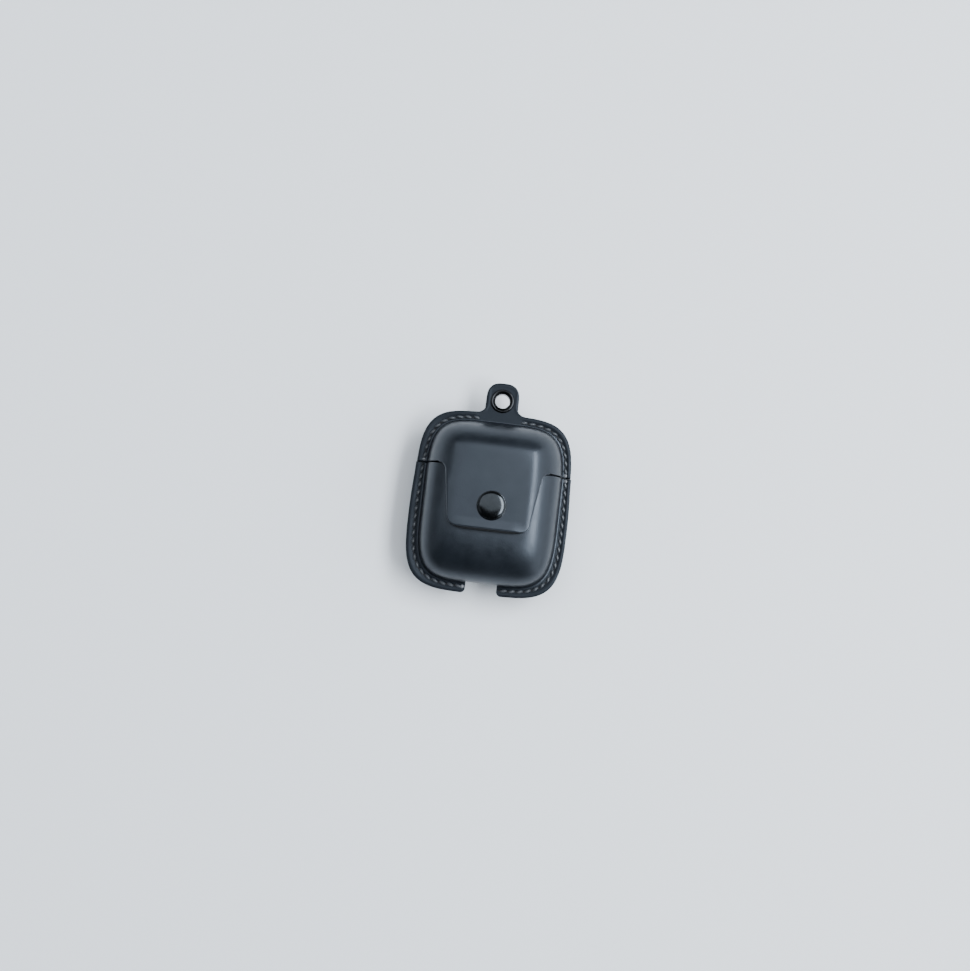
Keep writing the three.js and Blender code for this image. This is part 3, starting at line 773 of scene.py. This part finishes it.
# ---- the leather panels ----
def flap_half(y):
    """Half width of the flap, with the sweep out to the slit at its root."""
    share = np.clip((y - FLAP_END) / (FLAP_FLARE_Y - FLAP_END), 0, 1)
    straight = FLAP_SIDE_END + (FLAP_SIDE_TOP - FLAP_SIDE_END) * share
    turn = np.clip((y - FLAP_FLARE_Y) / (FLAP_ROOT_Y - FLAP_FLARE_Y), 0, 1)
    return straight + FLAP_FLARE * (1 - np.sqrt(1 - turn**2))


def edge_steps(half):
    """Places across a strip, closer together near its two edges."""
    near = np.array([0, 0.05, 0.14, 0.27, 0.42])
    middle = np.linspace(-half + 0.8, half - 0.8, int(2 * half / 0.55))
    return np.concatenate([-half + near, middle, (half - near)[::-1]]) / half


def flap_rows():
    """Rows of (x, y) down the flap, and how far each point is from its edge."""
    across = edge_steps(FLAP_SIDE_END)
    down = np.concatenate([np.linspace(0, 0.965, 46), [0.98, 0.988, 0.994, 1.0]])
    start = FLAP_ROOT_Y
    rows, edges = [], []
    for share in down:
        y = start + share * (FLAP_END - start)
        x = across * flap_half(np.full(across.shape, y))
        side = np.clip((np.abs(x) - FLAP_SIDE_END + FLAP_CORNER) / FLAP_CORNER, 0, 1)
        corner = FLAP_CORNER * (1 - np.sqrt(1 - side**2))
        row_y = start + share * (FLAP_END + corner - start)
        rows.append(np.stack([FLAP_X + x, row_y], axis=1))
        side_gap = (1 - np.abs(across)) * flap_half(np.full(across.shape, y))
        edges.append(np.minimum(side_gap, (1 - share) * (start - FLAP_END)))
    return rows, np.concatenate(edges)


def tab_half(y):
    turn = np.clip((TAB_STRAIGHT_Y - 1.2 - y) / (TAB_STRAIGHT_Y - 1.2 - TAB_ROOT_Y), 0, 1)
    return TAB_HALF + TAB_FLARE * (1 - np.sqrt(1 - turn**2))


def add_tab(surface):
    """Grows the tab out of the top of the flange. Gives its points and their distance in."""
    crest = surface.boundary(lambda co: co.y > 31 and abs(co.x) < TAB_HALF + TAB_FLARE)
    root = np.array([v.co[:2] for v in crest])
    even = np.linspace(-1, 1, len(crest))
    tight = 1.25 * even - 0.25 * even**5
    up = np.concatenate([[0.02, 0.05], np.linspace(0.09, 0.955, 25), [0.975, 0.987, 0.995, 1.0]])
    points, gaps, below = [], [], crest
    for share in up:
        y = TAB_ROOT_Y + share * (TAB_TOP - TAB_ROOT_Y)
        half = tab_half(np.full(len(crest), y))
        mix = smoothstep(np.full(len(crest), share), 0, 0.14)
        across = root[:, 0] / np.abs(root[:, 0]).max() * (1 - mix) + tight * mix
        rise = (TAB_TOP - TAB_STRAIGHT_Y) * (1 - np.clip(np.abs(across), 0, 1) ** 2.7) ** (1 / 2.7)
        top_y = TAB_STRAIGHT_Y + rise
        row = np.stack([across * half, root[:, 1] + share * (top_y - root[:, 1])], axis=1)
        above = surface.add_points(row)
        for i in range(len(crest) - 1):
            surface.bm.faces.new((above[i], below[i], below[i + 1], above[i + 1]))
        side = (1 - np.abs(across)) * half
        points.append(row)
        gaps.append(np.minimum(side, (1 - share) * (top_y - TAB_ROOT_Y)))
        below = above
    return np.concatenate(points), np.concatenate(gaps)


def slope_normals(x, y, grow):
    step = 0.04
    rise_x = (dome(x + step, y, grow) - dome(x - step, y, grow)) / (2 * step)
    rise_y = (dome(x, y + step, grow) - dome(x, y - step, grow)) / (2 * step)
    normal = np.stack([-rise_x, -rise_y, np.ones_like(x)], axis=1)
    return normal / np.linalg.norm(normal, axis=1)[:, None]


def finish_panel(name, surface, top, seam_plane, side, back=False, flap_edge=None):
    """Lifts a sheet to its height, gives it thickness and rounds its cut edges."""
    points, faces = surface.arrays()
    x, y = points[:, 0], points[:, 1]
    trim = flange_trim(side, y)
    on_flap = (y < SPLIT_Y + SLIT - 1e-3) if side == "lid" else np.zeros(len(x), bool)
    on_tab = y > FLANGE_Y + 1e-4
    lift = swell(x, y) if side == "lid" and not back else np.zeros(len(x))
    height = panel_height(x, y, top, lift, 0.0 if back else CROWN, trim)
    height = np.where(on_tab, top, height)
    end = smoothstep(-y, -FLAP_END - CURL_HEIGHT, -FLAP_END) * on_flap
    middle = smoothstep(-np.abs(x - FLAP_X), -CURL_SPAN[1], -CURL_SPAN[0])
    height += FLAP_CURL * end * middle
    sag = dome(np.zeros(len(x)), y) - dome(x, y)
    height += FLAP_FLATTER * sag * smoothstep(-x, 3, 13) * smoothstep(-y, -10, -4) * on_flap
    if side == "base":
        slit_gap = SPLIT_Y - SLIT - y
    elif back:
        slit_gap = y - SPLIT_Y - SLIT
    else:
        one_piece = on_flap | (np.abs(x - FLAP_X) < FLAP_ONE_PIECE)
        slit_gap = np.where(one_piece, NO_EDGE, y - SPLIT_Y - SLIT)
    drop = edge_drop(np.clip(slit_gap, 0, None), SLIT_ROUND)
    if flap_edge is not None:
        gaps = nearest_gap(points, flap_edge)
        drop += edge_drop(gaps, FLAP_ROUND)
        drop -= np.where(on_tab, RIM_BEAD * bell(gaps - RIM_INSET, TAB_RIM_WIDTH), 0)
    raised = np.stack([x, y, height], axis=1)
    normal = slope_normals(x, y, lift)
    thickness = np.where(on_flap, LEATHER, LEATHER + lift)
    inner = raised - normal * thickness[:, None]
    walls = (inset_from(x, y, HALF_W, HALF_H) > 0) & ~on_tab
    straight = np.stack([x, y, np.full(len(x), seam_plane)], axis=1)
    bottom = np.where((walls | on_flap)[:, None], inner, straight)
    bottom[:, 2] = np.maximum(bottom[:, 2], seam_plane)
    lining = case_height(bottom[:, 0], bottom[:, 1], OVER_LINING)
    over_lining = walls & ~on_flap
    bottom[:, 2] = np.where(over_lining, np.maximum(bottom[:, 2], lining), bottom[:, 2])
    bottom[:, 1] -= FLAP_BEVEL * end**4 * middle
    raised[:, 2] -= drop
    on_dome = smoothstep(inset_from(x, y, HALF_W, HALF_H), 0, 1.5)
    flare = SLIT_FLARE * on_dome * bell(np.clip(slit_gap, 0, None), SLIT_ROUND)
    raised[:, 1] += flare if side == "lid" else -flare
    if back:
        shift = relief_shift(x, y, side)
        raised[:, 1] += shift
        bottom[:, 1] += shift
    return thicken(name, raised, bottom, faces, COVER_MATERIALS, back)


def relief_shift(x, y, side):
    """How far the back leather is drawn away from the hinge, so that the lid can swing back."""
    depth = FACE_Z - dome(x, np.full(x.shape, SPLIT_Y), 0.0, 0.0)
    away = np.clip(HINGE_Z - depth, 0, None) * RELIEF
    if side == "base":
        return -away * smoothstep(y, -4, SPLIT_Y - SLIT)
    return away * smoothstep(-y, -25, -SPLIT_Y - SLIT)


def nearest_gap(points, edge):
    """Distance from the edge of a flap or tab, for the points that belong to one.

    Every other point is given a distance that has no effect.
    """
    places, gaps = edge
    keys = {(round(p[0], 4), round(p[1], 4)): gap for p, gap in zip(places, gaps)}
    return np.array([keys.get((round(p[0], 4), round(p[1], 4)), NO_EDGE) for p in points])


def cut_at_slit(surface, side):
    """Ends a sheet at its side of the slit, with rows of points close to the edge."""
    edge_y = SPLIT_Y + side * SLIT
    for inset in SLIT_ROWS:
        surface.cut((0, edge_y + side * inset, 0), (0, -side, 0))
    surface.cut((0, edge_y, 0), (0, -side, 0), clear=True)


def base_panel(name, top, seam_plane, back=False):
    surface = Surface()
    surface.add_polar(panel_rings(top, "base"))
    cut_at_slit(surface, -1)
    return finish_panel(name, surface, top, seam_plane, "base", back)


def lid_panel(name, top, seam_plane, back=False):
    surface = Surface()
    surface.add_polar(panel_rings(top, "lid"))
    cut_at_slit(surface, 1)
    edges = [add_tab(surface)]
    if not back:
        reach_x = flap_half(np.array([FLAP_ROOT_Y]))[0] + 0.15
        brim = surface.boundary(
            lambda co: abs(co.y - SPLIT_Y - SLIT) < 1e-3 and abs(co.x - FLAP_X) < reach_x
        )
        rows, gaps = flap_rows()
        flap = surface.add_grid(rows)
        surface.zip_rows(brim, flap)
        edges.append((np.concatenate(rows), gaps))
    places = np.concatenate([e[0] for e in edges])
    flap_edge = (places, np.concatenate([e[1] for e in edges]))
    return finish_panel(name, surface, top, seam_plane, "lid", back, flap_edge)


FRONT_TOP = SEAM_Z + LEATHER
BACK_TOP = FACE_Z - (SEAM_Z - LEATHER)
base_front = base_panel("base_front_cover", FRONT_TOP, SEAM_Z + 0.01)
base_back = base_panel("base_back_cover", BACK_TOP, FACE_Z - SEAM_Z + 0.01, back=True)
lid_front = lid_panel("lid_cover_with_flap", FRONT_TOP, SEAM_Z + 0.01)
lid_back = lid_panel("lid_back_cover", BACK_TOP, FACE_Z - SEAM_Z + 0.01, back=True)


def place(piece, body, slot, *nodes):
    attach(piece, body)
    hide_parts(*nodes)


def port_cut():
    """The opening for the port, which widens where it goes through the flange."""
    bend = arc(FLANGE_END, FLANGE_END, FLANGE_END, 180, 270)
    side = [(PORT_HALF, PORT_INNER_Y)] + [(PORT_HALF + x, y - FLANGE_Y) for x, y in bend]
    side.append((PORT_HALF + FLANGE_END, PORT_OUTER_Y))
    outline = side[::-1] + [(-x, y) for x, y in side]
    return prism(outline, MID_Z - PORT_RISE, MID_Z + PORT_RISE)


def thumb_notch():
    """The notch in the front at the slit, where a thumb pushes the lid up."""
    turns = np.linspace(0, np.pi, 25)[::-1]
    arch = [(THUMB_HALF * math.cos(t), SPLIT_Y - THUMB_DEPTH * math.sin(t) ** 0.6) for t in turns]
    outline = [(-THUMB_HALF, THUMB_TOP_Y), *arch, (THUMB_HALF, THUMB_TOP_Y)]
    return prism(outline, 18, 40)


for panel in (lid_front, lid_back):
    carve(panel, *prism(circle(0, EYELET_Y, EYELET_HOLE), 0, 40))
carve(lid_front, *prism(circle(0, SNAP_Y, SNAP_HOLE), 20, FACE_Z + 2.1))
for panel in (base_front, base_back):
    carve(panel, *port_cut())
carve(base_front, *thumb_notch())

place(base_front, "base", "leather", "base_front_leather")
place(base_back, "base", "leather", "base_back_leather")
place(lid_back, "lid", "leather", "lid_back_leather")
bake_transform(lid_front)
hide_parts("lid_front_leather", "flap_leather", "hang_tab")


def flap_lining():
    """Microfibre under the flap, cut a little smaller than its leather."""
    across = edge_steps(FLAP_SIDE_END)
    points = []
    start = SPLIT_Y - 0.5
    rows = np.linspace(0, 1, 44)
    for share in rows:
        y = start + share * (FLAP_END + 0.8 - start)
        half = FLAP_SIDE_TOP + (FLAP_SIDE_END - FLAP_SIDE_TOP) * share - 0.9
        side = np.clip((np.abs(across) * half - half + 3) / 3, 0, 1)
        corner = 3 * (1 - np.sqrt(1 - side**2)) * share
        points.append(np.stack([FLAP_X + across * half, y + corner], axis=1))
    surface = Surface()
    surface.add_grid(points)
    plan, faces = surface.arrays()
    x, y = plan[:, 0], plan[:, 1]
    top = np.stack([x, y, dome(x, y, 0.88)], axis=1)
    bottom = np.stack([x, y, dome(x, y, 0.62)], axis=1)
    piece = thicken("flap_lining_cloth", top, bottom, faces, [SUEDE])
    carve(piece, *prism(circle(0, SNAP_Y, SNAP_HOLE), 20, 40))
    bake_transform(piece)
    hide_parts("flap_lining")


def hinge_strip():
    """Leather across the back of the hinge, creased along both sides."""
    low, high = box_mm("hinge_strip")
    start, end = low[1] - 0.25, high[1] + 0.25
    across = edge_steps(high[0])
    surface = Surface()
    surface.add_grid([np.stack([across * high[0], np.full(across.shape, y)], axis=1)
                      for y in np.linspace(end, start, 34)])
    plan, faces = surface.arrays()
    x, y = plan[:, 0], plan[:, 1]
    crease = bell(y - start, 0.5) + bell(y - end, 0.5)
    fold = 0.16 * bell(y - SPLIT_Y, 0.6)
    outer = 0.12 + 0.45 * crease + fold + edge_drop(high[0] - np.abs(x), 0.4)
    top = np.stack([x, y, FACE_Z - outer], axis=1)
    bottom = np.stack([x, y, np.full(len(x), FACE_Z - high[2])], axis=1)
    piece = thicken("hinge_strip_leather", top, bottom, faces, COVER_MATERIALS, back=True)
    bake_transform(piece)
    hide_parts("hinge_strip")


# ---- stitching ----
def seam_stations(body, hand):
    """Evenly spaced points along one run of the seam, with the direction across it."""
    fine = np.linspace(-np.pi / 2, np.pi * 1.5, 8000)
    trim = flange_trim(body, ring(SEAM_X, SEAM_Y, 0, fine)[:, 1])
    points = ring(SEAM_X - trim * SEAM_LID_TRIM / LID_TRIM, SEAM_Y, 0, fine)
    x, y = points.T
    if body == "base":
        keep = (y < SPLIT_Y - 1.0) & (hand * x > PORT_HALF + 1.0)
    else:
        keep = (y > SPLIT_Y + 1.0) & (hand * x > TAB_HALF + 1.2)
    run = points[keep]
    if body == "base" and hand < 0:
        run = run[np.argsort(-run[:, 1])]
    length = np.concatenate([[0], np.cumsum(np.linalg.norm(np.diff(run, axis=0), axis=1))])
    count = int(round(length[-1] / STITCH_PITCH)) + 1
    at = np.linspace(0, length[-1], count)
    stations = np.stack([np.interp(at, length, run[:, i]) for i in (0, 1)], axis=1)
    along = np.gradient(stations, axis=0)
    along /= np.linalg.norm(along, axis=1)[:, None]
    return stations, along


def add_strand(points, faces, start, end, height, side):
    """One stitch: a twisted cord that dips into the leather at both ends."""
    first = len(points)
    start, end = np.array(start), np.array(end)
    along = (end - start) / np.linalg.norm(end - start)
    across = np.array([-along[1], along[0]])
    for i in range(STRAND_STEPS + 1):
        t = i / STRAND_STEPS
        arch = math.sin(math.pi * t)
        middle = start + (end - start) * t
        lift = height + side * (0.36 * arch**0.6 - 0.12)
        size = THREAD_RADIUS * (0.5 + 0.5 * arch**0.5)
        for k in range(STRAND_SIDES):
            turn = 2 * math.pi * k / STRAND_SIDES
            ply = 1 + 0.1 * math.cos(2 * (turn - 6.5 * t))
            out = across * math.cos(turn) * size * ply
            points.append((*(middle + out), lift + math.sin(turn) * size * ply * 0.9))
    starts = [first + i * STRAND_SIDES for i in range(STRAND_STEPS + 1)]
    rows = [range(at, at + STRAND_SIDES) for at in starts]
    for low, high in zip(rows, rows[1:]):
        faces += band(low, high)
    faces += [list(rows[0])[::-1], list(rows[-1])]


def add_lens(points, faces, centre, along, across, length, width, thick):
    """A small flat drop: the painted shade of an awl hole, or the melted end of a thread."""
    first = len(points)
    sides = 14
    for k in range(sides):
        turn = 2 * math.pi * k / sides
        spot = centre[:2] + along * math.cos(turn) * length + across * math.sin(turn) * width
        points.append((*spot, centre[2]))
    points.append((*centre[:2], centre[2] + thick))
    points.append((*centre[:2], centre[2] - thick))
    for k in range(sides):
        j = (k + 1) % sides
        faces.append((first + k, first + j, first + sides))
        faces.append((first + j, first + k, first + sides + 1))


def stitch_run(body, hand, name, node):
    stations, along = seam_stations(body, hand)
    across = np.stack([-along[:, 1], along[:, 0]], axis=1)
    points, faces, slots = [], [], []
    for side, top in ((1, FRONT_TOP - GROOVE), (-1, FACE_Z - BACK_TOP + GROOVE)):
        slant = STITCH_SLANT * side * hand
        for i in range(len(stations) - 1):
            step = stations[i + 1] - stations[i]
            start = stations[i] + step * 0.1 - across[i] * slant
            end = stations[i + 1] - step * 0.1 + across[i + 1] * slant
            add_strand(points, faces, start, end, top, side)
        slots += [0] * (len(faces) - len(slots))
        # near-black drops at the stations: painted shade of the awl holes
        for i, station in enumerate(stations):
            centre = np.array([*station, top + side * 0.02])
            tilt = along[i] * 0.75 - across[i] * 0.66 * np.sign(slant)
            crossways = np.array([-tilt[1], tilt[0]])
            add_lens(points, faces, centre, crossways, tilt, 0.62, 0.5, 0.03)
        slots += [1] * (len(faces) - len(slots))
    end = np.array([*stations[0 if hand * (body == "lid") > 0 else -1], FRONT_TOP - 0.05])
    add_lens(points, faces, end, along[0], across[0], 0.72, 0.66, 0.5)
    slots += [2] * (len(faces) - len(slots))
    piece = make_mesh(name, points, faces, [THREAD, HOLE_SHADE, MELTED_THREAD], slots, sharp=60)
    place(piece, body, "thread", node)


# ---- metal pieces ----
def cap_profile(low, high, radius):
    """A broad dome over a narrow rolled rim, on a short neck."""
    seat = low + 0.72
    base = high - 0.95
    dome_radius = radius - 0.3
    shares = np.sin(np.linspace(0, math.pi / 2, 40))[::-1]
    crown = [(dome_radius * t, base + (high - base) * (1 - t**3.6) ** 0.55) for t in shares]
    crown[-1] = (0, high)
    rim = arc(radius - 0.24, seat + 0.24, 0.24, -90, 80, 8)
    return [(0, low), (1.4, low), (1.4, seat)] + rim + [(dome_radius + 0.03, seat + 0.5)] + crown


def turned(name, profile, y, body, node, material=BLACK_METAL, sides=96):
    """A turned metal piece on the middle line, in the place of a node."""
    place(lathe(name, profile, 0, y, material, sides), body, "black_metal", node)


def snap_pieces():
    profile = cap_profile(CAP_LOW[2], CAP_HIGH[2], (CAP_HIGH[0] - CAP_LOW[0]) / 2)
    turned("snap_cap_dome", profile, SNAP_Y, "flap", "snap_cap", GUNMETAL)
    low, high = box_mm("snap_stud")
    top = high[2]
    foot = top - 1.25
    profile = [(0, low[2]), (1.4, low[2]), (1.4, foot), (3.3, foot)] + arc(3.25, foot + 0.15, 0.15, -90, 90)
    profile += [(2.3, foot + 0.32), (1.75, foot + 0.5), (1.5, foot + 0.72), (1.62, foot + 0.9)]
    profile += [(1.5, top - 0.15), (1.1, top - 0.03), (0, top)]
    turned("snap_stud_turned", profile, SNAP_Y, "base", "snap_stud", sides=64)
    low, high = box_mm("snap_socket")
    z = low[2]
    profile = [(2.6, z + 0.25)] + arc(2.85, z + 0.25, 0.25, 180, 270) + arc(4.2, z + 0.2, 0.2, -90, 0)
    profile += [(4.4, high[2] - 0.1), (4.3, high[2]), (0, high[2]), (0, high[2] - 0.15)]
    profile += [(3.3, high[2] - 0.15), (3.3, z + 0.5), (2.7, z + 0.5), (2.6, z + 0.25)]
    turned("snap_socket_turned", profile, SNAP_Y, "flap", "snap_socket", sides=64)


def eyelet_pieces():
    low, high = EYELET_LOW[2], EYELET_HIGH[2]
    rim = (EYELET_HIGH[0] - EYELET_LOW[0]) / 2
    bore = rim - 1.65
    seat = FRONT_TOP - 0.02
    lip = [(bore, high - 0.6), (bore + 0.1, high - 0.36), (bore + 0.28, high - 0.26),
           (bore + 0.46, high - 0.34), (bore + 0.56, high - 0.5), (bore + 0.66, high - 0.28),
           (bore + 0.84, high - 0.07), (bore + 1.08, high), (bore + 1.32, high - 0.08),
           (rim - 0.14, high - 0.28), (rim - 0.02, high - 0.5), (rim, seat + 0.08),
           (rim - 0.06, seat)]
    wall = [(bore + 0.42, seat), (bore + 0.42, low + 0.4), (bore + 0.6, low + 0.24),
            (bore + 0.75, low + 0.12), (bore + 0.6, low), (bore + 0.25, low + 0.02),
            (bore + 0.04, low + 0.2)]
    profile = lip + wall + lip[:1]
    turned("eyelet_rolled", profile[::-1], EYELET_Y, "lid", "eyelet_barrel")
    top = SEAM_Z - LEATHER - 0.02
    profile = [(bore + 0.5, top), (bore + 0.5, top - 0.2), (rim - 0.35, top - 0.33)]
    profile += [(rim - 0.08, top - 0.2), (rim, top - 0.05), (rim - 0.02, top), (bore + 0.5, top)]
    turned("eyelet_washer_pressed", profile, EYELET_Y, "lid", "eyelet_washer")


# ---- the charging case and the earbuds ----
def moulding(name, offset, material):
    return make_mesh(name, *pillow(offset), [material])


def case_shells():
    for body, side in (("base", -1), ("lid", 1)):
        node = "case_body_shell" if body == "base" else "case_lid_shell"
        shell = moulding(node + "_moulded", -COVER, SHELL)
        carve(shell, *pillow(-COVER - CASE_WALL))
        carve(shell, *half_space(side, SHELL_SLIT), "INTERSECT")
        carve(shell, *rod("x", HINGE_BORE, -HINGE_HALF, HINGE_HALF, (SPLIT_Y, HINGE_Z)))
        if body == "base":
            carve(shell, *block(-4.9, 4.9, -30, -20, MID_Z - 2, MID_Z + 2))
            carve(shell, *rod("z", 1, 15, 30, (0, LIGHT_Y)))
            carve(shell, *rod("z", BUTTON_HOLE, 0, 6, (0, BUTTON_Y)))
        place(shell, body, "shell_plastic", node)


def linings():
    """Microfibre inside the four moulded halves of the cover."""
    for body, side in (("base", -1), ("lid", 1)):
        for face in ("front", "back"):
            node = f"{body}_{face}_lining"
            low, high = (SEAM_Z + FIT, FAR) if face == "front" else (-20, SEAM_Z - FIT)
            piece = moulding(node + "_cloth", LINING_TOP, SUEDE)
            carve(piece, *pillow(LINING_BOTTOM))
            carve(piece, *half_space(side, LINING_SLIT), "INTERSECT")
            carve(piece, *block(-FAR, FAR, -FAR, FAR, low, high), "INTERSECT")
            if body == "base":
                port_z = (MID_Z - PORT_RISE, MID_Z + PORT_RISE)
                carve(piece, *block(-PORT_HALF, PORT_HALF, PORT_OUTER_Y, PORT_INNER_Y, *port_z))
            if node == "base_front_lining":
                carve(piece, *thumb_notch())
                carve(piece, *prism(circle(0, SNAP_Y, RIVET_HOLE), 18, 40))
            place(piece, body, "suede", node)


def tray():
    """The moulding that holds the earbuds, with a round well for each."""
    piece = moulding("earbud_tray_moulded", INSIDE_SHELL, TRAY)
    carve(piece, *block(-FAR, FAR, SPLIT_Y - 6.1, SPLIT_Y - 0.2, 0, 40), "INTERSECT")
    carve(piece, *block(-HINGE_ROOM, HINGE_ROOM, 0, 30, 0, 5.7))
    for hand in (-1, 1):
        carve(piece, *rod("y", WELL_TUBE, -17.6, SPLIT_Y - 5, (hand * BUD_X, MID_Z)), "UNION")
    for hand in (-1, 1):
        carve(piece, *ball((hand * BUD_X, BUD_Y, MID_Z), [r + BUD_ROOM for r in BUD_RADII]))
        carve(piece, *rod("y", WELL_BORE, -16.6, 30, (hand * BUD_X, MID_Z)))
        carve(piece, *rod("y", CONTACT_HOLE, -30, -10, (hand * BUD_X, MID_Z)))
    carve(piece, *block(-MAGNET_HALF, MAGNET_HALF, 10.1, 30, *MAGNET_Z))
    carve(piece, *rod("z", 1.05, 18.6, 30, (0, LIGHT_Y)))
    place(piece, "base", "tray_plastic", "earbud_tray")


def liner():
    """The moulding inside the lid, hollow but for a rib and a post that holds the magnet."""
    piece = moulding("lid_liner_moulded", INSIDE_SHELL, TRAY)
    hollow = make_mesh("hollow", *pillow(INSIDE_SHELL - 1), [])
    carve(hollow, *block(-2.4, 2.4, SPLIT_Y, FAR, -5, 45))
    carve(hollow, *block(-3.8, 3.8, SPLIT_Y, 15.2, 18.3, 45))
    points = [tuple(v.co / MM) for v in hollow.data.vertices]
    faces = [list(f.vertices) for f in hollow.data.polygons]
    bpy.data.objects.remove(hollow)
    carve(piece, points, faces)
    carve(piece, *block(-FAR, FAR, SPLIT_Y + 0.4, FAR, 0, 40), "INTERSECT")
    carve(piece, *block(-HINGE_ROOM, HINGE_ROOM, 0, SPLIT_Y + 7.5, 0, 5.5))
    carve(piece, *block(-MAGNET_HALF, MAGNET_HALF, 0, 14.5, *MAGNET_Z))
    place(piece, "lid", "tray_plastic", "lid_liner")


def earbuds():
    for hand, name in ((-1, "left"), (1, "right")):
        centre = (hand * BUD_X, BUD_Y, MID_Z)
        node = f"earbud_{name}_housing"
        bore_low, bore_high = sorted((hand * (BUD_X - 6.9), hand * BUD_X))
        tip_low, tip_high = box_mm(f"earbud_{name}_ear_tip")
        tip_at = ((tip_low[1] + tip_high[1]) / 2, (tip_low[2] + tip_high[2]) / 2)
        housing = make_mesh(node + "_moulded", *ball(centre, BUD_RADII), [SHELL])
        stem_end = box_mm(node)[0][1]
        carve(housing, *rod("y", STEM_RADIUS, stem_end, BUD_Y, (centre[0], MID_Z)), "UNION")
        carve(housing, *rod("x", 2.1, bore_low, bore_high, tip_at))
        place(housing, "base", "shell_plastic", node)
        ear_tip(name, hand, tip_at)


def ear_tip(name, hand, tip_at):
    """A silicone mushroom round the sound outlet, with a bore through its middle."""
    node = f"earbud_{name}_ear_tip"
    low, high = box_mm(node)
    neck = sorted((hand * TIP_SPAN[0], hand * TIP_SPAN[1]))
    piece = make_mesh(node + "_moulded", *ball((hand * 5, *tip_at), TIP_RADII), [SILICONE])
    carve(piece, *ball((hand * BUD_X, BUD_Y, MID_Z), [r + 0.2 for r in BUD_RADII]))
    carve(piece, *rod("x", 1.95, *neck, tip_at), "UNION")
    carve(piece, *rod("x", 1.3, *sorted((0, hand * 6)), tip_at))
    carve(piece, *block(low[0], high[0], 0, 30, 0, 30), "INTERSECT")
    place(piece, "base", "silicone", node)


flap_lining()
hinge_strip()
linings()
case_shells()
tray()
liner()
earbuds()
for run_body in ("base", "lid"):
    for run_hand, run_side in ((-1, "left"), (1, "right")):
        run_node = f"{run_body}_seam_thread_{run_side}"
        stitch_run(run_body, run_hand, f"{run_body}_stitches_{run_side}", run_node)
snap_pieces()
eyelet_pieces()


# ---- floor, light and camera ----
FLOOR_HALF = 3.0  # in metres, like the distance to the lights
PANEL_DISTANCE = 2.0
DAYLIGHT = (0.9, 0.95, 1.0)


def add_floor():
    mesh = bpy.data.meshes.new("floor")
    signs = ((-1, -1), (1, -1), (1, 1), (-1, 1))
    corners = [(x * FLOOR_HALF, y * FLOOR_HALF, 0) for x, y in signs]
    mesh.from_pydata(corners, [], [(0, 1, 2, 3)])
    material = new_material("floor", (0.78, 0.81, 0.85), 0.6)[0]
    mesh.materials.append(material)
    floor = bpy.data.objects.new("floor", mesh)
    bpy.context.scene.collection.objects.link(floor)


def add_soft_panel(name, across, along, spread, glow):
    """Three panels of different sizes, one over the other, so that their edge fades."""
    for i, share in enumerate((0.56, 1.0, 1.44)):
        size = (spread[0] * share, spread[1] * share)
        add_panel(f"{name}_{i}", across, along, size, glow / 3)


def add_panel(name, across, along, spread, glow):
    """A soft light seen from the object at two angles from straight up, and this wide in each."""
    direction = Vector((math.tan(math.radians(across)), math.tan(math.radians(along)), 1))
    direction.normalize()
    data = bpy.data.lights.new(name, "AREA")
    data.shape = "RECTANGLE"
    data.size = 2 * PANEL_DISTANCE * math.tan(math.radians(spread[0] / 2))
    data.size_y = 2 * PANEL_DISTANCE * math.tan(math.radians(spread[1] / 2))
    data.energy = glow * math.pi * data.size * data.size_y
    data.color = DAYLIGHT
    light = bpy.data.objects.new(name, data)
    light.location = direction * PANEL_DISTANCE
    right = Vector((0, 1, 0)).cross(direction).normalized()
    up = direction.cross(right)
    turn = Matrix((right, up, direction)).transposed().to_4x4()
    light.matrix_world = Matrix.Translation(light.location) @ turn
    light.visible_camera = False
    bpy.context.scene.collection.objects.link(light)


def add_camera():
    """Almost straight down, from a little toward the port end and a little to the left."""
    distance = 420.0
    frame_width = 350.5
    right_of_centre = 2.0
    below_centre = 6.7
    tilt_x = math.radians(1.2)
    tilt_y = math.radians(3.5)
    turn = math.radians(6.7)
    back = Vector((-math.tan(tilt_x), -math.tan(tilt_y), 1)).normalized()
    up = Vector((-math.sin(turn), math.cos(turn), 0))
    right = up.cross(back).normalized()
    up = back.cross(right).normalized()
    data = bpy.data.cameras.new("camera")
    data.sensor_width = 36
    data.lens = data.sensor_width * distance / frame_width
    data.clip_start = 0.01
    camera = bpy.data.objects.new("camera", data)
    target = Vector((0, 0, MID_Z)) - right * right_of_centre + up * below_centre
    spot = (target + back * distance) * MM
    rotation = Matrix((right, up, back)).transposed()
    camera.matrix_world = Matrix.Translation(spot) @ rotation.to_4x4()
    bpy.context.scene.collection.objects.link(camera)
    bpy.context.scene.camera = camera


def add_world():
    """A dim room with a paler band round the horizon, where the floor meets it."""
    world = bpy.data.worlds.new("studio")
    world.use_nodes = True
    tree = world.node_tree
    background = tree.nodes["Background"]
    coords = tree.nodes.new("ShaderNodeTexCoord")
    parts = tree.nodes.new("ShaderNodeSeparateXYZ")
    fade = add_range(tree, 0.7, 0.1, 0.04, 0.2)
    fade.interpolation_type = "SMOOTHSTEP"
    tree.links.new(coords.outputs["Generated"], parts.inputs["Vector"])
    tree.links.new(parts.outputs["Z"], fade.inputs["Value"])
    tree.links.new(fade.outputs["Result"], background.inputs["Strength"])
    background.inputs["Color"].default_value = (*DAYLIGHT, 1)
    bpy.context.scene.world = world


add_floor()
add_world()
add_soft_panel("ceiling", -8, 20, (48, 30), 7.0)
add_panel("window", 31, 8, (18, 52), 18.0)
add_panel("right_wall", 64, -4, (38, 90), 2.4)
add_panel("left_wall", -60, 0, (50, 60), 0.45)
add_camera()
